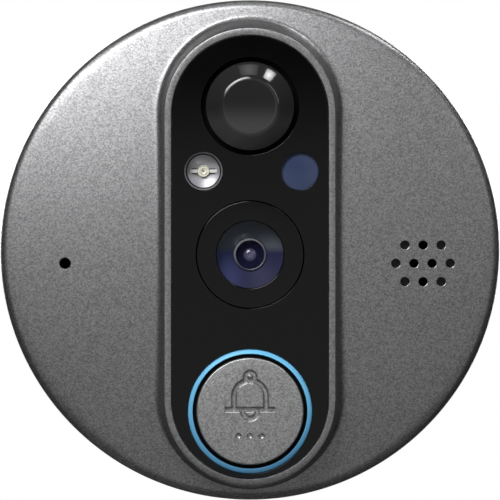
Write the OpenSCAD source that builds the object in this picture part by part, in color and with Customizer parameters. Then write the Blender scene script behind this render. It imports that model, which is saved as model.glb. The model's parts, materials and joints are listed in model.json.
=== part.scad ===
// Outdoor unit of a peephole door camera: a round domed housing with a raised oblong panel.
// The unit hangs on the outside of a door, with its spigot in the peephole.
// The modules draw in a flat frame: x to the visitor's right, y up, z out of the door.
// upright() then turns that frame so that z up is up and the visitor looks along +Y.

/* [Body] */
// Outside diameter of the round body
body_d = 65; // [63:0.5:72]
// Depth from the door to the flat rim around the panel
rim_z = 15.6; // [15.2:0.1:18]
// Height that the flat rim stands above the crown of the domed face
rim_rise = 1.2; // [0.8:0.1:1.6]
// Height of the dome's crown above its edge
dome_rise = 3; // [2.4:0.1:3.6]
// Rounding between the domed face and the side
edge_r = 1.2; // [0.6:0.1:2]
// Thickness of the domed face
face_t = 1.8; // [1.5:0.1:2.2]
// Thickness of the side wall
side_t = 2.3; // [2:0.1:3]
// Wall of the skirt around the rear cover
skirt_t = 1.2; // [0.9:0.1:1.5]
// Gap between the skirt and the door
skirt_gap = 0.5; // [0.3:0.1:0.8]

/* [Panel] */
// Width of the black panel, as a share of the body's diameter
panel_share = 0.3154; // [0.305:0.0001:0.325]
// Width of the flat rim around the panel
rim_w = 0.9; // [0.6:0.05:1.2]
// Distance from the top of the body down to the rim
rim_gap_top = 3.65; // [3:0.05:5]
// Distance from the bottom of the body up to the rim
rim_gap_bottom = 1.85; // [1.6:0.05:3]
// Outward slope of the wall under the rim, sideways per depth
rim_draft = 0.22; // [0.1:0.01:0.3]
// Thickness of the panel
panel_t = 1.2; // [1:0.1:1.6]
// Depth of the panel's face below the rim
panel_recess = 0.3; // [0.1:0.05:0.6]
// Clearance around the panel in its pocket
panel_clear = 0.12; // [0.05:0.01:0.2]
// Thickness of the adhesive sheet behind the panel
adhesive_t = 0.2; // [0.1:0.05:0.4]
// Distance that the adhesive sheet stays inside the panel's outline
adhesive_inset = 0.4; // [0.2:0.1:1]
// Thickness of the shelf that carries the panel
shelf_t = 1.7; // [1.4:0.1:2.2]
// Wall left beside the well under the panel
well_wall = 1.5; // [1.2:0.1:1.7]

/* [Motion sensor] */
// Height of the motion sensor above the middle of the panel's round top
pir_lift = 1; // [0.4:0.05:1.6]
// Diameter of the sensor lens at its base, as a share of the panel's width
pir_share = 0.559; // [0.54:0.001:0.58]
// Diameter of the flat top of the lens
pir_top_d = 7.4; // [6:0.1:9]
// Height of the sloping flank of the lens
pir_flank_h = 1.9; // [1.2:0.1:2.6]
// Height of the upright foot of the lens above the panel
pir_foot_h = 0.2; // [0:0.05:0.5]
// Wall of the lens
pir_wall = 0.6; // [0.4:0.05:0.8]
// Gap between the lens and the panel around it
pir_gap = 0.65; // [0.4:0.05:0.8]
// Width of the lens flange beyond the foot
pir_flange_w = 1.2; // [1.1:0.05:1.5]
// Thickness of the lens flange
pir_flange_t = 0.8; // [0.6:0.05:1]
// Clearance around the lens flange in the shelf
pir_flange_clear = 0.12; // [0.05:0.01:0.2]
// Diameter of the sensor can
pir_can_d = 8.1; // [7.5:0.1:8.6]
// Height of the sensor can
pir_can_h = 4.2; // [3.6:0.1:4.8]
// Diameter of the sensor's base plate
pir_header_d = 9.1; // [8.8:0.1:9.4]
// Thickness of the sensor's base plate
pir_header_t = 0.6; // [0.4:0.1:0.8]

/* [Infrared lamp and light sensor] */
// Place of the lamp row, as a share of the way from the motion sensor down to the camera
lamp_share = 0.4383; // [0.43:0.0001:0.45]
// Distance from the middle to the infrared lamp on the left, as a share of the panel's width
lamp_side = 0.2951; // [0.285:0.0001:0.31]
// Distance from the middle to the light sensor on the right, as a share of the panel's width
filter_side = 0.3146; // [0.295:0.0001:0.32]
// Diameter of the lamp's clear body
lamp_d = 4.9; // [4.6:0.1:5]
// Clearance around the lamp in the panel
lamp_clear = 0.1; // [0.05:0.01:0.15]
// Depth of the lamp's tip below the panel's face
lamp_sink = 0.2; // [0.1:0.05:0.4]
// Gap between the lamp's foot and the board
lamp_standoff = 0.3; // [0.2:0.05:0.6]
// Distance between the two leads of the lamp
lead_pitch = 2.54; // [2.2:0.01:2.8]
// Width of the square leads
lead_w = 0.5; // [0.4:0.05:0.6]
// Diameter of the window in front of the light sensor
filter_d = 4.9; // [4.4:0.1:5]
// Thickness of the blue filter
filter_t = 0.6; // [0.4:0.05:0.8]
// Width of the filter's seat behind the window
filter_lip = 0.3; // [0.2:0.05:0.4]

/* [Camera] */
// Place of the camera, as a share of the way from the motion sensor down to the button
camera_share = 0.4868; // [0.475:0.0001:0.5]
// Diameter of the black shroud, as a share of the panel's width
shroud_share = 0.678; // [0.66:0.001:0.69]
// Clearance around the shroud
shroud_clear = 0.1; // [0.05:0.01:0.15]
// Width of the shroud's flange behind the shelf
shroud_flange_w = 1.3; // [1:0.1:1.4]
// Thickness of the shroud's flange
shroud_flange_t = 1; // [0.8:0.1:1.2]
// Diameter of the domed front glass
glass_d = 8.7; // [8.2:0.1:9]
// Radius of the front glass's dome
glass_r = 7; // [6:0.1:10]
// Thickness of the front glass
glass_t = 0.6; // [0.4:0.05:0.7]
// Depth of the glass's crown below the panel's face
glass_sink = 0.1; // [0.05:0.05:0.3]
// Width of the ledge that the glass rests on
glass_lip = 0.4; // [0.3:0.05:0.6]
// Diameter of the lens nose in the middle of the baffle
nose_d = 4.2; // [3.8:0.1:4.6]
// Height of the lens nose above the barrel
nose_h = 0.5; // [0.4:0.1:0.8]
// Diameter of the dark pit in the lens nose
pit_d = 3.6; // [3:0.1:3.7]
// Depth of the pit in the lens nose
pit_h = 0.7; // [0.5:0.1:1]
// Diameter of the small lens at the bottom of the pit
lens_d = 1.9; // [1.5:0.1:2.4]
// Diameter of the lens barrel
barrel_d = 7.2; // [6.6:0.1:7.6]
// Clearance of the barrel in its holder
barrel_clear = 0.05; // [0.02:0.01:0.1]
// Width of the square lens holder
holder_w = 9.4; // [9:0.1:10]
// Height of the lens holder
holder_h = 3.6; // [3:0.1:4]

/* [Call button] */
// Depth of the button below the middle of the panel's round bottom
button_lower = 1.45; // [0.9:0.05:1.6]
// Diameter of the button cap, as a share of the panel's width
button_share = 0.679; // [0.64:0.001:0.69]
// Height of the cap's face above the panel
button_proud = 0.6; // [0.55:0.05:1]
// Travel of the button
button_travel = 0.5; // [0.3:0.05:0.5]
// Clearance of the cap in its bush
button_clear = 0.08; // [0.05:0.01:0.1]
// Wall of the bush around the cap
bush_wall = 0.35; // [0.3:0.01:0.4]
// Clearance between the bush and the light ring
ring_clear = 0.06; // [0.04:0.01:0.1]
// Width of the light ring
ring_w = 0.64; // [0.5:0.02:0.8]
// Height of the light ring above the panel
ring_proud = 0.1; // [0:0.05:0.3]
// Clearance between the light ring and the panel
ring_fit = 0.06; // [0.04:0.01:0.1]
// Width of the flanges on the light ring and the bush
ring_flange_w = 0.9; // [0.6:0.1:1]
// Thickness of the light ring's flange
ring_flange_t = 0.8; // [0.6:0.1:1]
// Thickness of the bush's flange
bush_flange_t = 1; // [0.8:0.1:1.2]
// Depth of the bush's edge below the panel's face
bush_sink = 0.3; // [0.2:0.05:0.5]
// Wall of the button cap
cap_wall = 0.9; // [0.7:0.05:1.2]
// Thickness of the button cap's face
cap_t = 1.3; // [1:0.1:1.6]
// Chamfer around the button cap's face
cap_chamfer = 0.25; // [0.1:0.05:0.4]
// Width of the flange that keeps the cap in its bush
cap_flange_w = 0.55; // [0.4:0.05:0.6]
// Thickness of the cap's flange
cap_flange_t = 0.7; // [0.5:0.05:0.9]
// Diameter of the stem that presses the switch
stem_d = 3.2; // [2.6:0.1:4]
// Width of the grooves in the bell symbol
groove_w = 0.5; // [0.35:0.05:0.6]
// Depth of the grooves in the bell symbol
groove_depth = 0.2; // [0.1:0.05:0.4]
// Width of the switch body
switch_w = 6; // [5:0.1:6.4]
// Height of the switch body
switch_h = 3.5; // [3.1:0.1:3.7]
// Diameter of the switch plunger
plunger_d = 3.4; // [2.6:0.1:3.8]
// Height of the plunger above the switch
plunger_h = 0.8; // [0.7:0.05:1]
// Clearance around the plunger
plunger_clear = 0.08; // [0.05:0.01:0.1]

/* [Speaker and microphone] */
// Diameter of the speaker
speaker_d = 14; // [13:0.1:15]
// Gap between the speaker and the side wall
speaker_side_gap = 0.7; // [0.5:0.05:1]
// Drop of the speaker and microphone below the middle of the body
sound_drop = 1.75; // [1:0.05:2.5]
// Diameter of the sound holes
hole_d = 1.16; // [0.9:0.02:1.3]
// Distance between sound holes in a row
hole_pitch = 2.36; // [2.2:0.02:2.6]
// Distance between rows of sound holes
row_pitch = 2.38; // [2.2:0.02:2.6]
// Depth of the blind outer holes
dimple_depth = 1.1; // [0.6:0.1:1.2]
// Width of the speaker's rim that the gasket rests on
speaker_rim = 1.1; // [0.8:0.1:1.4]
// Thickness of the foam gasket on the speaker
speaker_gasket_t = 0.4; // [0.3:0.05:0.6]
// Thickness of the dust mesh
mesh_t = 0.15; // [0.1:0.05:0.2]
// Clearance around the speaker in its pocket
speaker_clear = 0.15; // [0.1:0.05:0.3]
// Gap between the speaker and the board
speaker_lift = 0.3; // [0.2:0.05:0.6]
// Diameter of the microphone capsule
mic_d = 6; // [5.6:0.1:6.4]
// Wall of the rubber boot around the microphone
boot_t = 0.9; // [0.7:0.05:1.1]
// Gap between the boot and the side wall
mic_side_gap = 2.25; // [2:0.05:2.6]
// Diameter of the microphone's sound hole
mic_hole_d = 1.46; // [1.1:0.02:1.7]
// Clearance around the boot in its socket
boot_clear = 0.05; // [0.02:0.01:0.1]
// Gap between the boot and the board
mic_lift = 0.7; // [0.5:0.05:1]

/* [Board] */
// Thickness of the circuit board
board_t = 1.2; // [1:0.1:1.6]
// Gap between the board and the side wall
board_gap = 1.5; // [1.2:0.1:1.6]
// Height of the spacers between the rear cover and the board
spacer_h = 2; // [1.9:0.1:2.5]
// Height of the cable socket on the back of the board
socket_h = 1.6; // [1.2:0.1:1.8]

/* [Rear cover and door fixing] */
// Thickness of the foam pad against the door
pad_t = 1; // [0.8:0.1:1.5]
// Width of the foam pad's ring
pad_w = 11; // [9:0.5:11.5]
// Gap between the foam pad and the seats of the screw heads
pad_gap = 1.5; // [1:0.1:2]
// Depth of the pad's recess in the cover
pad_recess = 0.5; // [0.3:0.1:0.7]
// Clearance around the pad in its recess
pad_clear = 0.2; // [0.1:0.05:0.3]
// Thickness of the rear cover
cover_t = 2.5; // [2.2:0.1:3]
// Clearance around the rear cover in the skirt
cover_clear = 0.15; // [0.1:0.01:0.25]
// Thickness of the seal between the rear cover and the housing
seal_t = 0.6; // [0.4:0.1:0.8]
// Clearance on both sides of the seal
seal_clear = 0.1; // [0.05:0.01:0.15]
// Diameter of the spigot in the peephole
spigot_d = 14.6; // [14.2:0.1:16]
// Length of the spigot past the door's face
spigot_len = 6; // [5:0.5:12]
// Width of the cable slot through the spigot
slot_w = 9.4; // [8.8:0.1:9.8]
// Height of the cable slot through the spigot
slot_h = 5; // [4.8:0.05:5.2]
// Diameter of the threaded clamp sleeves
sleeve_d = 4; // [3.8:0.05:4.2]
// Distance between the two clamp sleeves
sleeve_pitch = 9.8; // [9.6:0.05:10]
// Length of the clamp sleeves past the door's face
sleeve_len = 15; // [13:0.5:25]
// Core diameter of the thread in the sleeves
sleeve_core_d = 2.5; // [2.1:0.05:2.6]
// Width of the collar that anchors each sleeve in the cover
collar_w = 0.35; // [0.2:0.05:0.4]
// Height of the sleeve's collar
collar_h = 0.8; // [0.6:0.1:1.2]

/* [Screws] */
// Distance of the screws from the side wall
screw_inset = 4.2; // [3.8:0.1:4.4]
// Diameter of the screw bosses
boss_d = 5.2; // [4.8:0.1:5.4]
// Core diameter of the screws
screw_d = 1.7; // [1.4:0.05:2]
// Clearance of the screws in the board and the cover
screw_clear = 0.25; // [0.15:0.05:0.35]
// Clearance of the screws' core in the bosses
thread_clear = 0.04; // [0.02:0.01:0.06]
// Length that the screws reach into the bosses
screw_bite = 3.4; // [3:0.1:3.6]
// Diameter of the screw heads
head_d = 3.6; // [3.2:0.1:3.8]
// Height of the screw heads
head_h = 1.2; // [1:0.1:1.3]
// Depth of the screw heads below the back of the cover
head_sink = 0.3; // [0.1:0.1:0.4]

/* [Hidden] */
$fn = 96;
eps = 0.01;
through = 60;
body_r = body_d / 2;

// Levels along z, from the door outwards
z_cover_back = pad_t - pad_recess;
z_cover_front = z_cover_back + cover_t;
z_step = z_cover_front + seal_t;
z_board_back = z_cover_front + spacer_h;
z_board = z_board_back + board_t;
z_panel = rim_z - panel_recess;
z_panel_back = z_panel - panel_t;
z_shelf = z_panel_back - adhesive_t;
z_well = z_shelf - shelf_t;
z_crown = rim_z - rim_rise;

// Domed face: a sphere through the crown and the edge
dome_r = (body_r * body_r + dome_rise * dome_rise) / (2 * dome_rise);
z_dome = z_crown - dome_r;
edge_x = body_r - edge_r;
edge_z = z_dome + sqrt(pow(dome_r - edge_r, 2) - edge_x * edge_x);
edge_cut = 3 * edge_r;
dome_fn = 720;
inner_r = body_r - side_t;
skirt_r = body_r - skirt_t;
function face_z(x, y) = z_dome + sqrt(dome_r * dome_r - x * x - y * y);
function ceiling_z(x, y) = z_dome + sqrt(pow(dome_r - face_t, 2) - x * x - y * y);

// Oblong outlines around the panel
panel_w = panel_share * body_d;
rim_top = body_r - rim_gap_top;
rim_bottom = rim_gap_bottom - body_r;
panel_top = rim_top - rim_w;
panel_bottom = rim_bottom + rim_w;
rim_half = panel_w / 2 + rim_w;
well_gap = 0.15;

// Heights of the features on the panel, and their radii
pir_y = panel_top - panel_w / 2 + pir_lift;
button_y = panel_bottom + panel_w / 2 - button_lower;
camera_y = pir_y + camera_share * (button_y - pir_y);
lamp_y = pir_y + lamp_share * (camera_y - pir_y);
lamp_x = lamp_side * panel_w;
filter_x = filter_side * panel_w;
pir_base_r = pir_share * panel_w / 2;
pir_hole_r = pir_base_r + pir_gap;
pir_flange_r = pir_base_r + pir_flange_w;
pir_throat_r = pir_base_r + pir_wall / 2;
z_pir_flange = z_shelf - pir_flange_t;
z_pir_top = z_panel + pir_foot_h + pir_flank_h;
shroud_r = shroud_share * panel_w / 2;
glass_seat_r = glass_d / 2 + barrel_clear;
lamp_r = lamp_d / 2;
filter_r = filter_d / 2 + filter_lip;

// Motion sensor can
can_wall = 0.3;
can_window = [4, 5];
can_window_t = 0.4;
can_aperture = [3.2, 4.2];
pin_r = 0.23;
pin_tail = 0.8;
pin_circle_r = 2.54;
pin_angles = [45, 135, 270];
holder_tube_wall = 0.8;

// Infrared lamp
z_lamp_foot = z_board + lamp_standoff;
z_lamp_tip = z_panel - lamp_sink;
lamp_flange_w = 0.4;
lamp_flange_t = 1;
lamp_cup_r = 0.75;
lamp_cup_floor_r = 0.25;
lamp_cup_mouth_r = 0.64;
lamp_cup_depth = 0.5;
lamp_cup_sink = 3.2;
lamp_plate = [1.9, 0.7, 1];
lamp_slit = 0.25;
lead_clear = 0.12;
lead_hole_r = lead_w / sqrt(2) + lead_clear;

// Light sensor and its light pipe
sensor_size = [3.2, 3.2, 1.1];
pipe_gap = 0.2;
pipe_clear = 0.1;
pipe_flange_w = 0.7;
pipe_flange_t = 0.8;
pipe_r = filter_d / 2;

// Camera, from its front glass back to the image sensor
z_glass_top = z_panel - glass_sink;
glass_fn = 180;
glass_sag = glass_r - sqrt(glass_r * glass_r - glass_d * glass_d / 4);
z_glass_edge = z_glass_top - glass_sag;
z_glass_seat = z_glass_edge - glass_t;
z_shroud_back = z_well - shroud_flange_t;
baffle_r = glass_seat_r - glass_lip;
baffle_clear = 0.04;
z_baffle_back = z_shroud_back + baffle_clear;
baffle_foot = 0.4;
nose_clear = 0.06;
sensor_chip = [6, 6, 0.8];
ir_filter_size = [5.4, 5.4, 0.3];
z_chip = z_board + sensor_chip[2];
z_ir_filter = z_chip + ir_filter_size[2];
barrel_lift = 0.3;
z_barrel_back = z_ir_filter + barrel_lift;
z_nose = z_baffle_back + nose_h;
z_pit = z_nose - pit_h;
lens_seat_d = 0.6;
lens_dome = 0.15;
lens_stop_r = 0.48;
barrel_bore_r = 2.4;
barrel_front_t = 1.6;
holder_room = [7, 7];

// Call button, from its cap outwards to the panel
cap_r = button_share * panel_w / 2;
bush_r = cap_r + button_clear;
bush_out_r = bush_r + bush_wall;
ring_r = bush_out_r + ring_clear;
ring_out_r = ring_r + ring_w;
ring_hole_r = ring_out_r + ring_fit;
ring_flange_r = ring_out_r + ring_flange_w;
z_ring_flange = z_well - ring_flange_t;
z_bush = z_ring_flange - bush_flange_t;
z_cap = z_panel + button_proud;
z_cap_back = z_bush - cap_flange_t;
z_switch = z_board + switch_h;
z_plunger = z_switch + plunger_h;
plunger_depth = 1.6;
plunger_spare = 0.2;
plunger_room = button_travel + plunger_spare;
leg_r = 0.55;
leg_inset = 0.15;
leg_reach = ring_flange_r - leg_r - leg_inset;
leg_angles = [0, 90, 180];
cover_plate_t = 0.3;
ring_led_size = [2, 1.2, 0.7];
ring_led_reach = (ring_r + ring_out_r) / 2;
ring_led_angles = [45, 135, 225, 315];

// Bell symbol on the cap, from the groove width
bell_r = 2.3;
bell_base = 0.25;
bell_side = 1.7;
brim_half = 3.1;
knob_r = 0.85;
knob_hole_r = 0.32;
knob_hole_lift = 0.21;
clapper_r = 1.2;
pip_r = 0.36;
pip_pitch = 1.5;
pip_drop = 3.2;

// Speaker and microphone
speaker_r = speaker_d / 2;
speaker_x = inner_r - speaker_side_gap - speaker_r;
sound_y = -sound_drop;
hole_rows = [[-1, 3], [0, 4], [1, 3]];
seat_depth = 0.3;
seat_wall = 1.4;
seat_reach = 1.5;
z_seat = ceiling_z(speaker_x + speaker_r, sound_y) - seat_depth;
z_mesh = z_seat - mesh_t;
z_speaker = z_mesh - speaker_gasket_t;
z_speaker_back = z_board + speaker_lift;
speaker_wall = 0.5;
magnet_r = 3.6;
magnet_share = 0.5;
magnet_h = (z_speaker - z_speaker_back) * magnet_share;
cone_t = 0.2;
cone_dip = 0.8;
cone_dust_r = 2.2;
contact_size = [2, 1.2];
contact_y = 4;
mic_r = mic_d / 2;
boot_r = mic_r + boot_t;
mic_x = inner_r - mic_side_gap - boot_r;
mic_socket_wall = 1;
mic_socket_h = 2.2;
z_mic_seat = ceiling_z(mic_x + boot_r, sound_y) - seat_depth;
z_boot_back = z_board + mic_lift;
boot_lip = 0.8;
mic_hole_room = 0.3;
mic_lead_x = 1.27;
mic_lead_r = 0.25;

// Board, its chips and the socket behind it
board_r = inner_r - board_gap;
chip_places = [[-0.52, 0.24], [-0.505, -0.3], [0.495, 0.365], [0.455, -0.4]];
chip_sizes = [[9, 9, 1], [6, 8, 0.9], [8, 6, 1.3], [4, 4, 1.8]];
socket_size = [8.6, 4.4];
socket_wall = 0.5;
socket_room = 1;

// Rear cover, sleeves and screws
cover_r = skirt_r - cover_clear;
spigot_r = spigot_d / 2;
sleeve_r = sleeve_d / 2;
sleeve_floor = 1.5;
sleeve_fit = 0.02;
screw_r = screw_d / 2;
screw_reach = inner_r - screw_inset;
screw_angles = [45, 135, 225, 315];
screw_places = [for (a = screw_angles) screw_reach * [cos(a), sin(a)]];
boss_r = boss_d / 2;
head_r = head_d / 2;
head_clear = 0.2;
pad_out_r = screw_reach - head_r - head_clear - pad_gap;
pad_r = pad_out_r - pad_w;
z_head = z_cover_back + head_sink;
z_head_seat = z_head + head_h;
boss_bore_extra = 0.4;
cross_w = 0.5;
cross_l = 2;
cross_depth = 0.6;

// Turns the flat frame upright, so that the front looks along -Y
module upright() {
    rotate([90, 0, 0]) children();
}

// A cylinder between two levels
module disc(r, z0, z1, x = 0, y = 0) {
    translate([x, y, z0]) cylinder(r = r, h = z1 - z0);
}

// A ring between two radii and two levels
module ring(r0, r1, z0, z1, x = 0, y = 0) {
    difference() {
        disc(r1, z0, z1, x, y);
        disc(r0, z0 - eps, z1 + eps, x, y);
    }
}

// A block centred on x and y, between two levels
module block(size, z0, z1, x = 0, y = 0) {
    translate([x - size[0] / 2, y - size[1] / 2, z0]) cube([size[0], size[1], z1 - z0]);
}

// Oblong outline with round ends, grown from the rim's outline by grow
module oblong(grow) {
    half = rim_half + grow;
    arc_top = rim_top - rim_half;
    arc_bottom = rim_bottom + rim_half;
    translate([0, arc_top]) circle(r = half);
    translate([0, arc_bottom]) circle(r = half);
    translate([-half, arc_bottom]) square([2 * half, arc_top - arc_bottom]);
}

// An upright prism on an oblong outline
module oblong_prism(grow, z0, z1) {
    translate([0, 0, z0]) linear_extrude(z1 - z0) oblong(grow);
}

// The raised rim's drafted solid: two half cones and the straight run between them
module rim_island() {
    arc_top = rim_top - rim_half;
    arc_bottom = rim_bottom + rim_half;
    foot_half = rim_half + rim_draft * (rim_z - edge_z);
    flank = [[0, edge_z], [foot_half, edge_z], [rim_half, rim_z], [0, rim_z]];
    both = [[-foot_half, edge_z], [foot_half, edge_z], [rim_half, rim_z], [-rim_half, rim_z]];
    translate([0, arc_top, 0]) rotate_extrude(angle = 180) polygon(flank);
    translate([0, arc_bottom, 0]) rotate([0, 0, 180]) rotate_extrude(angle = 180) polygon(flank);
    translate([0, arc_top, 0]) rotate([90, 0, 0]) linear_extrude(arc_top - arc_bottom) polygon(both);
}

// Outside of the round body: a domed lid on a straight side, with a rounded edge
module body_outside() {
    rotate_extrude() {
        difference() {
            intersection() {
                translate([0, z_dome]) circle(r = dome_r, $fn = dome_fn);
                translate([0, skirt_gap]) square([body_r, rim_z]);
            }
            difference() {
                polygon([
                    [edge_x, edge_z],
                    [body_r + edge_r, edge_z],
                    [body_r + edge_r, edge_z + edge_cut],
                    [edge_x * (1 + edge_cut / (dome_r - edge_r)),
                     edge_z + edge_cut * (edge_z - z_dome) / (dome_r - edge_r)]
                ]);
                translate([edge_x, edge_z]) circle(r = edge_r);
            }
        }
    }
}

// Room inside the housing, with the shelf, bosses and seats left standing
module housing_room() {
    difference() {
        union() {
            rotate_extrude() {
                intersection() {
                    translate([0, z_dome]) circle(r = dome_r - face_t, $fn = dome_fn);
                    translate([0, z_step - eps]) square([inner_r, rim_z]);
                }
            }
            oblong_prism(-well_wall, z_step, z_well);
        }
        oblong_prism(0, z_well, rim_z);
        for (p = screw_places) disc(boss_r, z_board, rim_z, p[0], p[1]);
        difference() {
            disc(speaker_r + seat_wall, z_speaker - seat_reach, rim_z, speaker_x, sound_y);
            disc(speaker_r + speaker_clear, z_step, z_seat, speaker_x, sound_y);
            disc(speaker_r - speaker_rim, z_step, rim_z, speaker_x, sound_y);
        }
        difference() {
            disc(boot_r + mic_socket_wall, z_mic_seat - mic_socket_h, rim_z, -mic_x, sound_y);
            disc(boot_r + boot_clear, z_step, z_mic_seat, -mic_x, sound_y);
        }
    }
}

// Places of the sound holes in rows of three, four and three, the open ones or the blind ones
function hole_places() = [
    for (row = hole_rows) for (i = [0 : row[1] - 1])
        [(i - (row[1] - 1) / 2) * hole_pitch, -row[0] * row_pitch]
];
function is_open(p) = norm(p) < hole_pitch + hole_d / 2;

module sound_holes() {
    for (p = hole_places()) {
        x = speaker_x + p[0];
        y = sound_y + p[1];
        z0 = is_open(p) ? z_seat : face_z(x, y) - dimple_depth;
        disc(hole_d / 2, z0, rim_z + through, x, y);
    }
    disc(mic_hole_d / 2, z_mic_seat - eps, rim_z + through, -mic_x, sound_y);
}

// Holes through the shelf for what stands in the panel
module shelf_holes() {
    disc(pir_throat_r, z_step, rim_z, 0, pir_y);
    disc(pir_flange_r + pir_flange_clear, z_pir_flange, rim_z, 0, pir_y);
    disc(lamp_r + lamp_clear, z_step, rim_z, -lamp_x, lamp_y);
    disc(pipe_r + pipe_clear, z_step, rim_z, filter_x, lamp_y);
    disc(shroud_r + shroud_clear, z_step, rim_z, 0, camera_y);
    disc(ring_hole_r, z_step, rim_z, 0, button_y);
}

module front_housing() {
    color("dimgray") upright() difference() {
        union() {
            body_outside();
            rim_island();
        }
        housing_room();
        disc(skirt_r, skirt_gap - eps, z_step);
        oblong_prism(-rim_w, z_shelf, rim_z + eps);
        shelf_holes();
        sound_holes();
        for (p = screw_places)
            disc(screw_r + thread_clear, z_board - eps, z_board + screw_bite + boss_bore_extra, p[0], p[1]);
    }
}

module front_panel() {
    color("black") upright() difference() {
        oblong_prism(-rim_w - panel_clear, z_panel_back, z_panel);
        disc(pir_hole_r, z_shelf, rim_z, 0, pir_y);
        disc(lamp_r + lamp_clear, z_shelf, rim_z, -lamp_x, lamp_y);
        disc(filter_d / 2, z_shelf, rim_z, filter_x, lamp_y);
        disc(filter_r + panel_clear, z_shelf, z_panel_back + filter_t, filter_x, lamp_y);
        disc(shroud_r + shroud_clear, z_shelf, rim_z, 0, camera_y);
        disc(ring_hole_r, z_shelf, rim_z, 0, button_y);
    }
}

module panel_adhesive() {
    color("darkslategray") upright() difference() {
        oblong_prism(-rim_w - panel_clear - adhesive_inset, z_shelf, z_panel_back);
        disc(pir_hole_r + panel_clear, z_well, rim_z, 0, pir_y);
        disc(lamp_r + adhesive_inset, z_well, rim_z, -lamp_x, lamp_y);
        disc(pipe_r + adhesive_inset, z_well, rim_z, filter_x, lamp_y);
        disc(shroud_r + adhesive_inset, z_well, rim_z, 0, camera_y);
        disc(ring_hole_r + panel_clear, z_well, rim_z, 0, button_y);
    }
}

// Moulded lens with a flat top, a sloping flank, an upright foot and a flange behind the panel
module pir_lens() {
    top_r = pir_top_d / 2;
    z_foot = z_panel + pir_foot_h;
    color("#3a3b3d") upright() translate([0, pir_y, 0]) rotate_extrude() polygon([
        [0, z_pir_top],
        [top_r, z_pir_top],
        [pir_base_r, z_foot],
        [pir_base_r, z_shelf],
        [pir_flange_r, z_shelf],
        [pir_flange_r, z_pir_flange],
        [pir_base_r - pir_wall, z_pir_flange],
        [pir_base_r - pir_wall, z_foot - pir_wall / 2],
        [top_r - pir_wall / 2, z_pir_top - pir_wall],
        [0, z_pir_top - pir_wall]
    ]);
}

module pir_can() {
    z0 = z_board + pir_header_t;
    z1 = z_board + pir_can_h;
    color("silver") upright() difference() {
        disc(pir_can_d / 2, z0, z1, 0, pir_y);
        disc(pir_can_d / 2 - can_wall, z0 - eps, z1 - can_wall, 0, pir_y);
        block(can_aperture, z0, z1 + eps, 0, pir_y);
    }
}

module pir_window() {
    z1 = z_board + pir_can_h - can_wall;
    color("#6a5f78") upright() block(can_window, z1 - can_window_t, z1, 0, pir_y);
}

// Base plate of the motion sensor with its three pins
module pir_header() {
    color("gainsboro") upright() {
        disc(pir_header_d / 2, z_board, z_board + pir_header_t, 0, pir_y);
        for (p = pir_pins()) disc(pin_r, z_board_back - pin_tail, z_board + eps, p[0], p[1]);
    }
}
function pir_pins() = [for (a = pin_angles) [pin_circle_r * cos(a), pir_y + pin_circle_r * sin(a)]];

// Black tube that stands on the board and backs the sensor lens
module pir_holder() {
    out_r = pir_throat_r - pipe_clear;
    color("#1c1c1e") upright() difference() {
        disc(out_r, z_board, z_pir_flange, 0, pir_y);
        disc(out_r - holder_tube_wall, z_board - eps, z_pir_flange + eps, 0, pir_y);
    }
}

// The lamp's two metal posts, the left one with a small plate and the right one with the cup
module lamp_posts() {
    z_cup = z_lamp_tip - lamp_cup_sink;
    z_plate = z_cup - lamp_plate[2];
    foot = z_board_back - pin_tail;
    slit_x = (lead_pitch - lead_w - lamp_slit) / 2;
    for (side = [-1, 1])
        block([lead_w, lead_w], foot, z_plate + eps, -lamp_x + side * lead_pitch / 2, lamp_y);
    difference() {
        union() {
            block([2 * lamp_plate[0], lamp_plate[1]], z_plate, z_cup, -lamp_x, lamp_y);
            disc(lamp_cup_r, z_plate, z_cup, -lamp_x, lamp_y);
        }
        block([lamp_slit, through], z_plate - eps, z_cup + eps, -lamp_x - slit_x, lamp_y);
        translate([-lamp_x, lamp_y, z_cup - lamp_cup_depth])
            cylinder(r1 = lamp_cup_floor_r, r2 = lamp_cup_mouth_r, h = lamp_cup_depth + eps);
    }
}

module lamp_leadframe() {
    color("tan") upright() lamp_posts();
}

// Clear body of the lamp: a flange, a straight side and a round tip, cast around the posts
module infrared_lamp() {
    color("lightgray", 0.5) upright() difference() {
        union() {
            disc(lamp_r + lamp_flange_w, z_lamp_foot, z_lamp_foot + lamp_flange_t, -lamp_x, lamp_y);
            translate([-lamp_x, lamp_y, 0]) rotate_extrude() {
                translate([0, z_lamp_foot]) square([lamp_r, z_lamp_tip - lamp_r - z_lamp_foot]);
                intersection() {
                    translate([0, z_lamp_tip - lamp_r]) circle(r = lamp_r);
                    translate([0, z_lamp_tip - lamp_r]) square([lamp_r, lamp_r]);
                }
            }
        }
        lamp_posts();
    }
}

module light_filter() {
    color("#3e4664") upright() disc(filter_r, z_panel_back, z_panel_back + filter_t, filter_x, lamp_y);
}

// Clear rod that leads light from the filter to the sensor on the board
module light_pipe() {
    color("lightcyan", 0.6) upright() {
        disc(pipe_r, z_board + sensor_size[2] + pipe_gap, z_panel_back, filter_x, lamp_y);
        well_flange(pipe_r + pipe_flange_w, z_well - pipe_flange_t, z_well, filter_x, lamp_y);
    }
}

module light_sensor() {
    color("whitesmoke") upright() block(sensor_size, z_board, z_board + sensor_size[2], filter_x, lamp_y);
}

// Black ring in the panel that carries the camera's front glass
module camera_shroud() {
    color("#101012") upright() difference() {
        union() {
            disc(shroud_r, z_shroud_back, z_panel, 0, camera_y);
            disc(shroud_r + shroud_flange_w, z_shroud_back, z_well, 0, camera_y);
        }
        disc(baffle_r, z_shroud_back - eps, rim_z, 0, camera_y);
        disc(glass_seat_r, z_glass_seat, rim_z, 0, camera_y);
    }
}

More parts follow.
